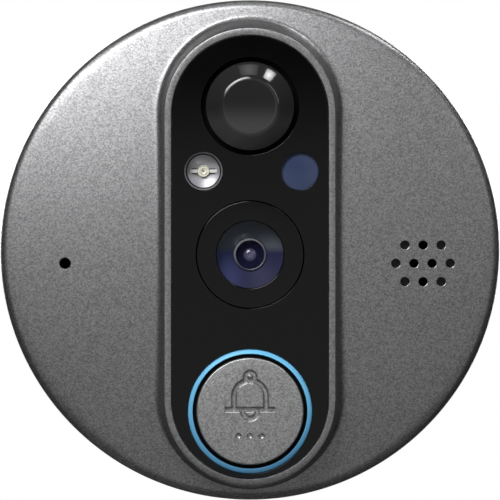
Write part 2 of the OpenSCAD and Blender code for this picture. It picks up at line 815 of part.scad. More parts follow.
// Domed cover glass of even thickness with a flat seat around it
module front_glass() {
    color("lightblue", 0.35) upright() translate([0, camera_y, 0]) rotate_extrude() {
        difference() {
            intersection() {
                translate([0, z_glass_top - glass_r]) circle(r = glass_r, $fn = glass_fn);
                translate([0, z_glass_seat]) square([glass_d / 2, rim_z]);
            }
            translate([0, z_glass_top - glass_r]) circle(r = glass_r - glass_t, $fn = glass_fn);
        }
    }
}

// Dark funnel between the front glass and the nose of the lens
module lens_baffle() {
    out_r = baffle_r - baffle_clear;
    in_r = nose_d / 2 + nose_clear;
    color("#2b2f52") upright() translate([0, camera_y, 0]) rotate_extrude() polygon([
        [in_r, z_baffle_back],
        [out_r, z_baffle_back],
        [out_r, z_glass_seat],
        [in_r, z_baffle_back + baffle_foot]
    ]);
}

// Lens barrel with a nose, a dark pit in it and the seat of the small lens
module lens_barrel() {
    seat_r = lens_d / 2 + nose_clear;
    color("#17171a") upright() translate([0, camera_y, 0]) rotate_extrude() polygon([
        [seat_r, z_pit],
        [pit_d / 2, z_pit],
        [pit_d / 2, z_nose],
        [nose_d / 2, z_nose],
        [nose_d / 2, z_baffle_back],
        [barrel_d / 2, z_baffle_back],
        [barrel_d / 2, z_barrel_back],
        [barrel_bore_r, z_barrel_back],
        [barrel_bore_r, z_pit - barrel_front_t],
        [lens_stop_r, z_pit - barrel_front_t],
        [lens_stop_r, z_pit - lens_seat_d],
        [seat_r, z_pit - lens_seat_d]
    ]);
}

// Small lens at the bottom of the pit, a little domed
module inner_lens() {
    dome = (lens_d * lens_d / 4 + lens_dome * lens_dome) / (2 * lens_dome);
    z1 = z_pit + lens_dome;
    color("#4a3f66") upright() translate([0, camera_y, 0]) rotate_extrude() intersection() {
        translate([0, z1 - dome]) circle(r = dome);
        translate([0, z_pit - lens_seat_d]) square([lens_d / 2, lens_seat_d + lens_dome]);
    }
}

module lens_holder() {
    z1 = z_board + holder_h;
    color("#222224") upright() difference() {
        block([holder_w, holder_w], z_board, z1, 0, camera_y);
        block(holder_room, z_board - eps, z_barrel_back, 0, camera_y);
        disc(barrel_d / 2 + barrel_clear, z_barrel_back - eps, z1 + eps, 0, camera_y);
    }
}

module ir_cut_filter() {
    color("#b56576") upright() block(ir_filter_size, z_chip, z_ir_filter, 0, camera_y);
}

module image_sensor() {
    color("#3b3b3b") upright() block(sensor_chip, z_board, z_chip, 0, camera_y);
}

// Outline bell: a domed body on a brim, a knob with a hole above and a clapper below
module bell_symbol() {
    in_r = bell_r - groove_w;
    bell_mid = bell_base + groove_w + bell_side;
    difference() {
        union() {
            translate([0, bell_mid]) circle(r = bell_r);
            translate([-bell_r, bell_base]) square([2 * bell_r, bell_mid - bell_base]);
            translate([0, bell_mid + bell_r]) circle(r = knob_r);
            translate([-brim_half, bell_base - groove_w / 2]) square([2 * brim_half, groove_w]);
            translate([-brim_half, bell_base]) circle(d = groove_w);
            translate([brim_half, bell_base]) circle(d = groove_w);
            intersection() {
                translate([0, bell_base]) circle(r = clapper_r);
                translate([-clapper_r, bell_base - clapper_r]) square([2 * clapper_r, clapper_r]);
            }
        }
        translate([0, bell_mid]) circle(r = in_r);
        translate([-in_r, bell_base + groove_w / 2]) square([2 * in_r, bell_mid - bell_base - groove_w / 2]);
        translate([0, bell_mid + bell_r + knob_hole_lift]) circle(r = knob_hole_r);
        intersection() {
            translate([0, bell_base - groove_w / 2]) circle(r = clapper_r - groove_w);
            translate([-clapper_r, bell_base - groove_w / 2 - clapper_r]) square([2 * clapper_r, clapper_r]);
        }
    }
}

// Hollow button cap with a keeping flange, a stem and an engraved bell
module call_button() {
    color("gray") upright() translate([0, button_y, 0]) difference() {
        rotate_extrude() polygon([
            [0, z_cap],
            [cap_r - cap_chamfer, z_cap],
            [cap_r, z_cap - cap_chamfer],
            [cap_r, z_bush],
            [cap_r + cap_flange_w, z_bush],
            [cap_r + cap_flange_w, z_cap_back],
            [cap_r - cap_wall, z_cap_back],
            [cap_r - cap_wall, z_cap - cap_t],
            [stem_d / 2, z_cap - cap_t],
            [stem_d / 2, z_plunger],
            [0, z_plunger]
        ]);
        translate([0, 0, z_cap - groove_depth]) linear_extrude(2 * groove_depth) bell_symbol();
        for (i = [-1 : 1])
            disc(pip_r, z_cap - groove_depth, z_cap + eps, i * pip_pitch, -pip_drop);
    }
}

// A round flange, trimmed to the well that it lies in
module well_flange(r, z0, z1, x, y) {
    translate([0, 0, z0]) linear_extrude(z1 - z0) intersection() {
        translate([x, y]) circle(r = r);
        oblong(-well_wall - well_gap);
    }
}

// Bush that guides the cap, clamped by three legs that stand on the board
module button_bush() {
    color("#19191b") upright() {
        difference() {
            union() {
                disc(bush_out_r, z_bush, z_panel - bush_sink, 0, button_y);
                well_flange(ring_flange_r, z_bush, z_ring_flange, 0, button_y);
            }
            disc(bush_r, z_bush - eps, rim_z, 0, button_y);
        }
        for (a = leg_angles)
            disc(leg_r, z_board, z_bush + eps, leg_reach * cos(a), button_y + leg_reach * sin(a));
    }
}

// Translucent ring around the button, with a flange behind the shelf
module light_ring() {
    color("deepskyblue", 0.8) upright() difference() {
        union() {
            disc(ring_out_r, z_ring_flange, z_panel + ring_proud, 0, button_y);
            well_flange(ring_flange_r, z_ring_flange, z_well, 0, button_y);
        }
        disc(ring_r, z_ring_flange - eps, rim_z, 0, button_y);
    }
}

module ring_leds() {
    color("aliceblue") upright() for (a = ring_led_angles)
        translate([0, button_y, 0]) rotate([0, 0, a])
            block(ring_led_size, z_board, z_board + ring_led_size[2], ring_led_reach, 0);
}

module switch_body() {
    color("#232323") upright() difference() {
        block([switch_w, switch_w], z_board, z_switch - cover_plate_t, 0, button_y);
        disc(plunger_d / 2 + plunger_clear, z_switch - plunger_depth - plunger_room, z_switch, 0, button_y);
    }
}

module switch_cover() {
    color("silver") upright() difference() {
        block([switch_w, switch_w], z_switch - cover_plate_t, z_switch, 0, button_y);
        disc(plunger_d / 2 + plunger_clear, z_board, z_switch + eps, 0, button_y);
    }
}

module switch_plunger() {
    color("ivory") upright() disc(plunger_d / 2, z_switch - plunger_depth, z_plunger, 0, button_y);
}

// Cup of the speaker with a hole in its back for the magnet
module speaker_frame() {
    color("#8f8f94") upright() difference() {
        disc(speaker_r, z_speaker_back, z_speaker, speaker_x, sound_y);
        disc(speaker_r - speaker_wall, z_speaker_back + speaker_wall, z_speaker + eps, speaker_x, sound_y);
        disc(magnet_r, z_speaker_back - eps, z_speaker, speaker_x, sound_y);
    }
}

module speaker_magnet() {
    color("#55565a") upright() disc(magnet_r, z_speaker_back, z_speaker_back + magnet_h, speaker_x, sound_y);
}

// Thin diaphragm: a flat rim, a cone and a dust cap
module speaker_cone() {
    rim_r = speaker_r - speaker_wall;
    fold_r = rim_r - speaker_rim;
    z1 = z_speaker;
    color("#2a2a2c") upright() translate([speaker_x, sound_y, 0]) rotate_extrude() polygon([
        [0, z1 - cone_dip],
        [cone_dust_r, z1 - cone_dip],
        [fold_r, z1],
        [rim_r, z1],
        [rim_r, z1 - cone_t],
        [fold_r, z1 - cone_t],
        [cone_dust_r, z1 - cone_dip - cone_t],
        [0, z1 - cone_dip - cone_t]
    ]);
}

module speaker_gasket() {
    color("#303030") upright()
        ring(speaker_r - speaker_rim, speaker_r, z_speaker, z_mesh, speaker_x, sound_y);
}

module speaker_mesh() {
    color("#1e1e1e") upright() disc(speaker_r, z_mesh, z_seat, speaker_x, sound_y);
}

// Two spring contacts between the board and the speaker
module speaker_contacts() {
    color("goldenrod") upright() for (side = [-1, 1])
        block(contact_size, z_board, z_speaker_back, speaker_x, sound_y + side * contact_y);
}

module microphone() {
    color("silver") upright() disc(mic_r, z_boot_back, z_mic_seat - boot_lip, -mic_x, sound_y);
}

// Rubber cup that holds the microphone behind its hole
module microphone_boot() {
    color("#262628") upright() difference() {
        disc(boot_r, z_boot_back, z_mic_seat, -mic_x, sound_y);
        disc(mic_r, z_boot_back - eps, z_mic_seat - boot_lip, -mic_x, sound_y);
        disc(mic_hole_d / 2 + mic_hole_room, z_boot_back, z_mic_seat + eps, -mic_x, sound_y);
    }
}

module microphone_leads() {
    color("gainsboro") upright() for (side = [-1, 1])
        disc(mic_lead_r, z_board, z_boot_back, -mic_x + side * mic_lead_x, sound_y);
}

// Round board with holes for the screws, the sensor's pins and the lamp's leads
module main_board() {
    color("darkgreen") upright() difference() {
        disc(board_r, z_board_back, z_board);
        for (p = screw_places)
            disc(screw_r + screw_clear, z_board_back - eps, z_board + eps, p[0], p[1]);
        for (p = pir_pins())
            disc(pin_r + lead_clear, z_board_back - eps, z_board + eps, p[0], p[1]);
        for (side = [-1, 1])
            disc(lead_hole_r, z_board_back - eps, z_board + eps, -lamp_x + side * lead_pitch / 2, lamp_y);
    }
}

module board_chips() {
    color("#2d2d30") upright() for (i = [0 : len(chip_sizes) - 1]) {
        p = board_r * chip_places[i];
        block(chip_sizes[i], z_board, z_board + chip_sizes[i][2], p[0], p[1]);
    }
}

// Flat socket behind the board that takes the cable from inside the door
module cable_socket() {
    color("ivory") upright() difference() {
        block(socket_size, z_board_back - socket_h, z_board_back);
        block(socket_size - 2 * [socket_wall, socket_wall], z_board_back - socket_h - eps,
              z_board_back - socket_h + socket_room);
    }
}

module rear_seal() {
    color("#3c3c3c") upright() ring(inner_r + seal_clear, skirt_r - seal_clear, z_cover_front, z_step);
}

// Round cover with a spigot, a cable slot, sleeve bores, spacers and sunk screw seats
module rear_cover() {
    color("#202022") upright() difference() {
        union() {
            disc(cover_r, z_cover_back, z_cover_front);
            disc(spigot_r, -spigot_len, z_cover_front);
            for (p = screw_places) disc(boss_r, z_cover_back, z_board_back, p[0], p[1]);
        }
        ring(pad_r - pad_clear, pad_out_r + pad_clear, z_cover_back - eps, z_cover_back + pad_recess);
        block([slot_w, slot_h], -spigot_len - eps, z_cover_front + eps);
        for (side = [-1, 1])
            disc(sleeve_r, -spigot_len - eps, z_cover_front + eps, 0, side * sleeve_pitch / 2);
        for (p = screw_places) {
            disc(head_r + head_clear, z_cover_back - eps, z_head_seat, p[0], p[1]);
            disc(screw_r + screw_clear, z_cover_back, z_board_back + eps, p[0], p[1]);
        }
    }
}

// Four pan-head screws with a cross recess, driven from the back
module cover_screws() {
    color("silver") upright() for (p = screw_places) difference() {
        union() {
            disc(head_r, z_head, z_head_seat, p[0], p[1]);
            disc(screw_r, z_head, z_board + screw_bite, p[0], p[1]);
        }
        block([cross_l, cross_w], z_head - eps, z_head + cross_depth, p[0], p[1]);
        block([cross_w, cross_l], z_head - eps, z_head + cross_depth, p[0], p[1]);
    }
}

// Two threaded sleeves that take the clamp screws from inside the door
module clamp_sleeves() {
    color("#b5975a") upright() for (side = [-1, 1]) {
        y = side * sleeve_pitch / 2;
        difference() {
            union() {
                disc(sleeve_r - sleeve_fit, -sleeve_len, z_cover_front + collar_h, 0, y);
                disc(sleeve_r + collar_w, z_cover_front, z_cover_front + collar_h, 0, y);
            }
            disc(sleeve_core_d / 2, -sleeve_len - eps, z_cover_front + collar_h - sleeve_floor, 0, y);
        }
    }
}

module door_pad() {
    color("#4a4a4a") upright() ring(pad_r, pad_out_r, 0, pad_t);
}

front_housing();
front_panel();
panel_adhesive();
pir_lens();
pir_can();
pir_window();
pir_header();
pir_holder();
infrared_lamp();
lamp_leadframe();
light_filter();
light_pipe();
light_sensor();
camera_shroud();
front_glass();
lens_baffle();
lens_barrel();
inner_lens();
lens_holder();
ir_cut_filter();
image_sensor();
call_button();
button_bush();
light_ring();
ring_leds();
switch_body();
switch_cover();
switch_plunger();
speaker_frame();
speaker_magnet();
speaker_cone();
speaker_gasket();
speaker_mesh();
speaker_contacts();
microphone();
microphone_boot();
microphone_leads();
main_board();
board_chips();
cable_socket();
rear_seal();
rear_cover();
cover_screws();
clamp_sleeves();
door_pad();
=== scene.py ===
# %% [markdown]
# # A peephole door camera
# This lesson dresses a measured model of a door camera's outdoor unit: a round, painted shell with a raised
# black panel that holds a motion sensor, a lamp, a camera and a call button. The measured model gives the
# places and the main sizes. Blender adds what it lacks: rounded edges, real finishes and studio light.

# %% Load the measured model
import json
from math import asin, cos, hypot, pi, radians, sin, sqrt

import bmesh
import bpy
from mathutils import Matrix, Vector


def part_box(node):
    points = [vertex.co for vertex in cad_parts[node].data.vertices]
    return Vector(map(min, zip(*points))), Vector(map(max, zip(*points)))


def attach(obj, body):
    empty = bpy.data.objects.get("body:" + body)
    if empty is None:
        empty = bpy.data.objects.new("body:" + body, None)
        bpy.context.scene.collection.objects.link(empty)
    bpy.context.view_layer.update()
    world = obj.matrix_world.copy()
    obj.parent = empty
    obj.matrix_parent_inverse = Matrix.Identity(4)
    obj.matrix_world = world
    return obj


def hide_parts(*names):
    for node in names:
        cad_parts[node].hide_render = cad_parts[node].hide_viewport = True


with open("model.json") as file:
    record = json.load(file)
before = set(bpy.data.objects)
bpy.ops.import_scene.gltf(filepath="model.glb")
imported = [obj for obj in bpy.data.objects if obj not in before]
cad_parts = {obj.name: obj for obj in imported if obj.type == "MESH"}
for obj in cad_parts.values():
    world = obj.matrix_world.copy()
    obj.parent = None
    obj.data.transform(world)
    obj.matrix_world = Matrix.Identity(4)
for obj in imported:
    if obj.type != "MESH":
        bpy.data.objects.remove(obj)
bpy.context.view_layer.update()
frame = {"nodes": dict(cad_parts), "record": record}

MM = 0.001

# %% [markdown]
# The unit faces the viewer along -Y, so it is easiest to think in three numbers: x to the right, z up, and
# depth, which grows from the door's face towards the viewer. These helpers read a measured piece in that
# way, so that a size which the model gives isn't typed again.


# %% Read places from the measured model
def at(x, z, depth):
    """A point from its place seen from the front and its depth out of the door."""
    return Vector((x, -depth, z))


def front(node):
    """Depth of a measured piece's foremost point."""
    return -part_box(node)[0].y


def back(node):
    """Depth of a measured piece's rearmost point."""
    return -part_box(node)[1].y


def half_width(node):
    """Half of a measured piece's width."""
    low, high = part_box(node)
    return (high.x - low.x) / 2


def middle(node):
    """Middle of a measured piece seen from the front, as (x, z)."""
    low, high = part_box(node)
    return (low.x + high.x) / 2, (low.z + high.z) / 2


body_radius = half_width("front_housing")
rim_depth = front("front_housing")
print("body radius", round(body_radius / MM, 2), "mm, rim depth", round(rim_depth / MM, 2), "mm")

# %% [markdown]
# The photograph looks straight at the front, and the round body fills the picture from edge to edge. A long
# lens from some way off keeps the sides from spreading. The widest ring of the body decides how long the
# lens must be.

# %% Place the camera
CAMERA_DISTANCE = 2.0
PICTURE_WIDTH = 65.08 * MM
SENSOR_WIDTH = 36.0
DOME_EDGE_DEPTH = 10.4 * MM

lens_data = bpy.data.cameras.new("front_camera")
lens_data.sensor_width = SENSOR_WIDTH
lens_data.lens = SENSOR_WIDTH * (CAMERA_DISTANCE - DOME_EDGE_DEPTH) / PICTURE_WIDTH
camera = bpy.data.objects.new("front_camera", lens_data)
camera.location = at(0, 0, CAMERA_DISTANCE)
camera.rotation_euler = (radians(90), 0, 0)
bpy.context.scene.collection.objects.link(camera)
bpy.context.scene.camera = camera
bpy.context.scene.view_settings.view_transform = "Standard"
print("lens", round(lens_data.lens), "mm")

# %% [markdown]
# A studio for a small object needs little: a pale floor below, a white card far behind that fills the
# picture, and a dim grey room all round. A room that is white everywhere would be simpler, but the black
# panel would mirror it and turn grey. The unit hangs on a door, so the floor lies well below it. The card
# is clear when its back is seen, so that it never stands between another camera and the unit.

# %% Set up the floor, the card and the room
FLOOR_DROP = 400 * MM
FLOOR_SIZE = 6.0
FLOOR_LOOK = {"Base Color": (0.72, 0.72, 0.71, 1), "Roughness": 0.9}
CARD_BEHIND = 1.7
CARD_SIZE = 0.6
CARD_LOOK = {
    "Base Color": (0, 0, 0, 1), "Specular IOR Level": 0, "Emission Color": (1, 1, 1, 1),
    "Emission Strength": 1.0,
}
ROOM_GREY = 0.035
UP = Vector((0, 0, 1))
OUT_OF_DOOR = Vector((0, -1, 0))


def facing(way):
    """The turn that makes a shape which lies flat look another way."""
    return UP.rotation_difference(way).to_matrix()


def mesh_object(name, bm):
    """Turns a bmesh into an object of the scene."""
    mesh = bpy.data.meshes.new(name)
    bm.to_mesh(mesh)
    bm.free()
    made = bpy.data.objects.new(name, mesh)
    bpy.context.scene.collection.objects.link(made)
    return made


def stage_sheet(name, size, centre, way, look):
    """A flat square for the studio. Gives its shader."""
    bm = bmesh.new()
    bmesh.ops.create_grid(bm, x_segments=1, y_segments=1, size=size / 2)
    bmesh.ops.rotate(bm, verts=bm.verts, cent=(0, 0, 0), matrix=facing(way))
    bmesh.ops.translate(bm, verts=bm.verts, vec=centre)
    sheet = mesh_object(name, bm)
    material = bpy.data.materials.new(name)
    material.use_nodes = True
    sheet.data.materials.append(material)
    surface = material.node_tree.nodes["Principled BSDF"]
    for label, value in look.items():
        surface.inputs[label].default_value = value
    return surface


def hide_from_behind(surface):
    """Makes a stage sheet clear where its back is seen."""
    tree = surface.id_data
    side = tree.nodes.new("ShaderNodeNewGeometry")
    clear = tree.nodes.new("ShaderNodeBsdfTransparent")
    choice = tree.nodes.new("ShaderNodeMixShader")
    tree.links.new(side.outputs["Backfacing"], choice.inputs["Fac"])
    tree.links.new(surface.outputs["BSDF"], choice.inputs[1])
    tree.links.new(clear.outputs["BSDF"], choice.inputs[2])
    tree.links.new(choice.outputs["Shader"], tree.nodes["Material Output"].inputs["Surface"])


stage_sheet("studio_floor", FLOOR_SIZE, at(0, -body_radius - FLOOR_DROP, 0), UP, FLOOR_LOOK)
hide_from_behind(stage_sheet("white_card", CARD_SIZE, at(0, 0, -CARD_BEHIND), OUT_OF_DOOR, CARD_LOOK))

room = bpy.data.worlds.new("grey_room")
bpy.context.scene.world = room
room.use_nodes = True
room.node_tree.nodes["Background"].inputs["Color"].default_value = (ROOM_GREY, ROOM_GREY, ROOM_GREY, 1)
print("floor", FLOOR_SIZE, "m, card", CARD_SIZE, "m")

# %% [markdown]
# The highlights in the photograph tell where the lamps stood. The shell is brightest at its upper left, so
# the main and the key softbox hang there. A thin softbox at the right draws a weaker arc on the sensor
# lens, and a narrow one almost beside the unit puts a small white window on it. Large, weak lamps on the
# right and below keep the rest of the shell from going dark, and one overhead lights the top edge. The low
# fill stands close to the viewing line: the glossy panel mirrors it, which turns its black into a very dark
# grey. Two lamps behind the unit light its sides, and a wash brightens the floor there.

# %% Hang the lamps
WASH_LEVEL = -300 * MM
WASH_BEHIND = 1.4


def hang_lamp(name, place, size, power, spread):
    """A flat lamp that shines straight down from a place."""
    data = bpy.data.lights.new(name, "AREA")
    data.shape = "RECTANGLE"
    data.size, data.size_y = size
    data.energy = power
    data.spread = radians(spread)
    lamp = bpy.data.objects.new(name, data)
    lamp.location = place
    lamp.visible_camera = False
    bpy.context.scene.collection.objects.link(lamp)
    print(name, power, "W")
    return lamp


def softbox(name, round_angle, off_axis, distance, size, power, spread=70):
    """A lamp that faces the unit, at an angle round the picture's middle and off the viewing line."""
    around, off = radians(round_angle), radians(off_axis)
    from_unit = at(sin(off) * cos(around), sin(off) * sin(around), cos(off))
    sideways = at(-sin(around), cos(around), 0)
    lamp = hang_lamp(name, distance * from_unit, size, power, spread)
    lamp.rotation_euler = Matrix((sideways, from_unit.cross(sideways), from_unit)).transposed().to_euler()


softbox("main_softbox", round_angle=118, off_axis=41, distance=0.24, size=(0.15, 0.06), power=0.062)
softbox("key_softbox", round_angle=120, off_axis=32, distance=0.28, size=(0.16, 0.08), power=0.028)
softbox("right_softbox", round_angle=33, off_axis=41, distance=0.35, size=(0.2, 0.022), power=0.01)
softbox("right_fill", round_angle=10, off_axis=20, distance=0.8, size=(0.8, 0.4), power=0.037)
softbox("right_upper", round_angle=48, off_axis=22, distance=0.6, size=(0.4, 0.3), power=0.012)
softbox("right_lower", round_angle=310, off_axis=18, distance=0.8, size=(0.6, 0.3), power=0.021)
softbox("left_lower", round_angle=230, off_axis=18, distance=0.8, size=(0.6, 0.3), power=0.033)
softbox("ceiling", round_angle=92, off_axis=86, distance=0.6, size=(0.3, 0.3), power=0.02, spread=40)
softbox("small_window", round_angle=59, off_axis=86, distance=0.6, size=(0.15, 0.4), power=0.06, spread=24)
softbox("low_fill", round_angle=270, off_axis=2.7, distance=0.9, size=(0.6, 0.135), power=0.0095)
softbox("back_left", round_angle=150, off_axis=150, distance=0.5, size=(0.3, 0.2), power=0.32)
softbox("back_right", round_angle=20, off_axis=155, distance=0.5, size=(0.3, 0.2), power=0.24)
hang_lamp("floor_wash", at(0, WASH_LEVEL, -WASH_BEHIND), (1.6, 1.2), power=4.0, spread=150)

# %% [markdown]
# A surface of one flat colour looks like a drawing, so every finish gets a pattern. Three patterns do for
# the whole unit. Each is a shader node group that is built once and placed in many materials, and all have
# the same sockets: a colour with its darkest and brightest share, and the smoothest and roughest gloss.
# They read Object coordinates, so the patterns have a real size in metres.


# %% Node group helpers
def add_node(tree, kind, **values):
    """A node in a tree, with some of its inputs or settings filled in."""
    node = tree.nodes.new(kind)
    for label, value in values.items():
        if label in node.inputs:
            node.inputs[label].default_value = value
        else:
            setattr(node, label, value)
    return node


def stretch_between(group, value, given, low, high):
    """Maps a socket that runs from 0 to 1 to the range between two of the group's inputs."""
    span = add_node(group, "ShaderNodeMapRange")
    group.links.new(value, span.inputs["Value"])
    group.links.new(given.outputs[low], span.inputs["To Min"])
    group.links.new(given.outputs[high], span.inputs["To Max"])
    return span.outputs["Result"]


def finish_group(name, pattern):
    """A node group for finishes. The pattern gives the sockets for its tone, its gloss and its height."""
    group = bpy.data.node_groups.new(name, "ShaderNodeTree")
    for side, values in (
        ("INPUT", ("Darkest", "Brightest", "Smoothest", "Roughest")),
        ("OUTPUT", ("Roughness", "Height")),
    ):
        group.interface.new_socket("Colour", in_out=side, socket_type="NodeSocketColor")
        for label in values:
            group.interface.new_socket(label, in_out=side, socket_type="NodeSocketFloat")
    given, result = group.nodes.new("NodeGroupInput"), group.nodes.new("NodeGroupOutput")
    tone, gloss, height = pattern(group, add_node(group, "ShaderNodeTexCoord").outputs["Object"])
    tint = add_node(group, "ShaderNodeMix", data_type="RGBA", blend_type="MULTIPLY", Factor=1.0)
    group.links.new(given.outputs["Colour"], tint.inputs["A"])
    group.links.new(stretch_between(group, tone, given, "Darkest", "Brightest"), tint.inputs["B"])
    group.links.new(tint.outputs["Result"], result.inputs["Colour"])
    roughness = stretch_between(group, gloss, given, "Smoothest", "Roughest")
    group.links.new(roughness, result.inputs["Roughness"])
    group.links.new(height, result.inputs["Height"])
    print("made", name)
    return group


print("group helpers ready")

# %% [markdown]
# The shell and the button are sprayed with a paint that holds metal flakes. Noise would only make soft
# clouds, while a Voronoi texture splits space into cells of a random colour, one for each flake: its red
# becomes the tone and its green the gloss. A fine noise makes the slightly uneven skin of sprayed paint.

# %% Paint flakes
FLAKES_PER_METRE = 6500.0
SKIN_PER_METRE = 2600.0


def flakes(group, place):
    """Cells with their own tone and gloss, under a fine skin."""
    cells = add_node(group, "ShaderNodeTexVoronoi", Scale=FLAKES_PER_METRE)
    skin = add_node(group, "ShaderNodeTexNoise", Scale=SKIN_PER_METRE, Detail=2.0)
    for texture in (cells, skin):
        group.links.new(place, texture.inputs["Vector"])
    channels = add_node(group, "ShaderNodeSeparateColor")
    group.links.new(cells.outputs["Color"], channels.inputs["Color"])
    return channels.outputs["Red"], channels.outputs["Green"], skin.outputs["Fac"]


paint_flakes = finish_group("paint_flakes", flakes)

# %% [markdown]
# Moulded plastic, rubber and glass are even at first sight, but their tone and gloss drift a little from
# place to place, and many have a fine grain from the mould. Two noises do that: a wide one and a fine one.

# %% Moulded grain
CLOUDS_PER_METRE = 140.0
GRAINS_PER_METRE = 5000.0


def grain(group, place):
    """Cloudy tone and gloss, with a fine relief."""
    clouds = add_node(group, "ShaderNodeTexNoise", Scale=CLOUDS_PER_METRE, Detail=4.0)
    relief = add_node(group, "ShaderNodeTexNoise", Scale=GRAINS_PER_METRE, Detail=3.0)
    for texture in (clouds, relief):
        group.links.new(place, texture.inputs["Vector"])
    return clouds.outputs["Fac"], clouds.outputs["Fac"], relief.outputs["Fac"]


moulded_grain = finish_group("moulded_grain", grain)

# %% [markdown]
# Rolled and turned metal carries streaks from its tools. A noise that is squeezed along the depth and drawn
# out across it gives them, and one such noise can serve tone, gloss and height, as on real metal.

# %% Drawn lines
STREAKS_PER_METRE = (400.0, 9000.0, 400.0)


def lines(group, place):
    """Long streaks across the depth, in tone, gloss and height."""
    squeeze = add_node(group, "ShaderNodeMapping", Scale=STREAKS_PER_METRE)
    streaks = add_node(group, "ShaderNodeTexNoise", Scale=1.0, Detail=4.0)
    group.links.new(place, squeeze.inputs["Vector"])
    group.links.new(squeeze.outputs["Vector"], streaks.inputs["Vector"])
    return streaks.outputs["Fac"], streaks.outputs["Fac"], streaks.outputs["Fac"]


drawn_lines = finish_group("drawn_lines", lines)

# %% [markdown]
# A finish is one material: a shader fed by one of the groups, and a Bump node that turns the group's height
# into tiny slopes. Numbers that are the same all over, such as how metallic a surface is, are set on the
# shader itself. Clear pieces could be refracting glass, but small glass over dark pits stays noisy, so they
# are coats that let nearly all light straight through and keep only a reflection. Where a tone changes across
# a piece, a fade adds a second tone, and each fade in this script is painted light, painted shade or a
# painted reflection. The dictionary holds a finish for each slot of the measured model and a few more.

# %% Finish helpers
FINE_RELIEF = 0.02 * MM
finishes = {}


def add_finish(
    slot, tone, gloss, shade=(0.9, 1.1), bump=0.1, relief=FINE_RELIEF, pattern=moulded_grain, settings=None
):
    """A finish for a material slot: a group's colour, gloss and relief on a Principled shader."""
    material = bpy.data.materials.new(slot)
    material.use_nodes = True
    tree = material.node_tree
    surface = tree.nodes["Principled BSDF"]
    group = add_node(tree, "ShaderNodeGroup", node_tree=pattern)
    group.inputs["Colour"].default_value = (*tone, 1)
    group.inputs["Darkest"].default_value, group.inputs["Brightest"].default_value = shade
    group.inputs["Smoothest"].default_value, group.inputs["Roughest"].default_value = gloss
    slopes = add_node(tree, "ShaderNodeBump", Strength=bump, Distance=relief)
    tree.links.new(group.outputs["Colour"], surface.inputs["Base Color"])
    tree.links.new(group.outputs["Roughness"], surface.inputs["Roughness"])
    tree.links.new(group.outputs["Height"], slopes.inputs["Height"])
    tree.links.new(slopes.outputs["Normal"], surface.inputs["Normal"])
    for label, value in (settings or {}).items():
        surface.inputs[label].default_value = value
    finishes[slot] = material


def painted_light_fade(slot, tone, level, reach, axis="Z"):
    """Lets a finish change to another tone along an axis, from a level onwards and over a reach. Each use is
    painted light, shade or reflection.
    """
    tree = finishes[slot].node_tree
    colour = next(node for node in tree.nodes if node.type == "GROUP").inputs["Colour"]
    place = tree.nodes.new("ShaderNodeTexCoord")
    axes = tree.nodes.new("ShaderNodeSeparateXYZ")
    rise = add_node(tree, "ShaderNodeMapRange", interpolation_type="SMOOTHSTEP")
    rise.inputs["From Min"].default_value, rise.inputs["From Max"].default_value = level, level + reach
    blend = add_node(tree, "ShaderNodeMix", data_type="RGBA", A=colour.default_value, B=(*tone, 1))
    for link in colour.links:
        tree.links.new(link.from_socket, blend.inputs["A"])
    tree.links.new(place.outputs["Object"], axes.inputs["Vector"])
    tree.links.new(axes.outputs[axis], rise.inputs["Value"])
    tree.links.new(rise.outputs["Result"], blend.inputs["Factor"])
    tree.links.new(blend.outputs["Result"], colour)


print("finish helpers ready")

# %% Paints and metals
PAINT = {"shade": (0.68, 1.36), "bump": 0.2, "pattern": paint_flakes, "settings": {"Metallic": 0.9}}
BARE_METAL = {"pattern": drawn_lines, "settings": {"Metallic": 1.0}}

add_finish("shell_paint", (0.27, 0.27, 0.275), (0.36, 0.46), **PAINT)
add_finish("button_paint", (0.4, 0.4, 0.402), (0.36, 0.46), **PAINT)
add_finish("steel", (0.6, 0.6, 0.59), (0.25, 0.4), (0.85, 1.1), **BARE_METAL)
add_finish("leadframe", (0.8, 0.77, 0.7), (0.2, 0.32), (0.85, 1.1), **BARE_METAL)
add_finish("brass", (0.62, 0.44, 0.17), (0.22, 0.36), (0.8, 1.1), bump=0.15, **BARE_METAL)
add_finish("magnet", (0.12, 0.12, 0.13), (0.4, 0.55), (0.85, 1.1), **BARE_METAL)
print(len(finishes), "finishes")

# %% Plastics, glass, rubber and cloth
DULL = {"Specular IOR Level": 0.05}
SHINY = {"Specular IOR Level": 1.0}
PLATED = {"Metallic": 0.3}
GLOWING = {"Emission Color": (0.1, 0.4, 0.8, 1), "Emission Strength": 0.02, "Specular IOR Level": 0.12}
CLEAR = {"Alpha": 0.04, "Specular IOR Level": 0.8}
COATED = {"Alpha": 0.04, "Specular IOR Level": 0.25}
FOAM_RELIEF = 0.1 * MM

# The front
add_finish("panel_black", (0.0006, 0.0006, 0.0006), (0.05, 0.1), bump=0.0)
add_finish("pir_smoke", (0.05, 0.05, 0.05), (0.07, 0.1), bump=0.01)
add_finish("filter_blue", (0.038, 0.056, 0.125), (0.16, 0.22), bump=0.02)
add_finish("ring_blue", (0.13, 0.38, 0.64), (0.2, 0.26), bump=0.02, settings=GLOWING)
# The lamp
add_finish("lamp_resin", (0.004, 0.004, 0.004), (0.1, 0.14), (0.98, 1.02), bump=0.0, settings=CLEAR)
add_finish("lamp_ground", (0.46, 0.46, 0.5), (0.3, 0.36), settings=PLATED)
add_finish("edge_light_grey", (0.27, 0.27, 0.28), (0.3, 0.36), settings=PLATED)
add_finish("post_bright", (0.98, 0.97, 0.92), (0.3, 0.4))
add_finish("cup_cream", (0.95, 0.93, 0.82), (0.3, 0.4))
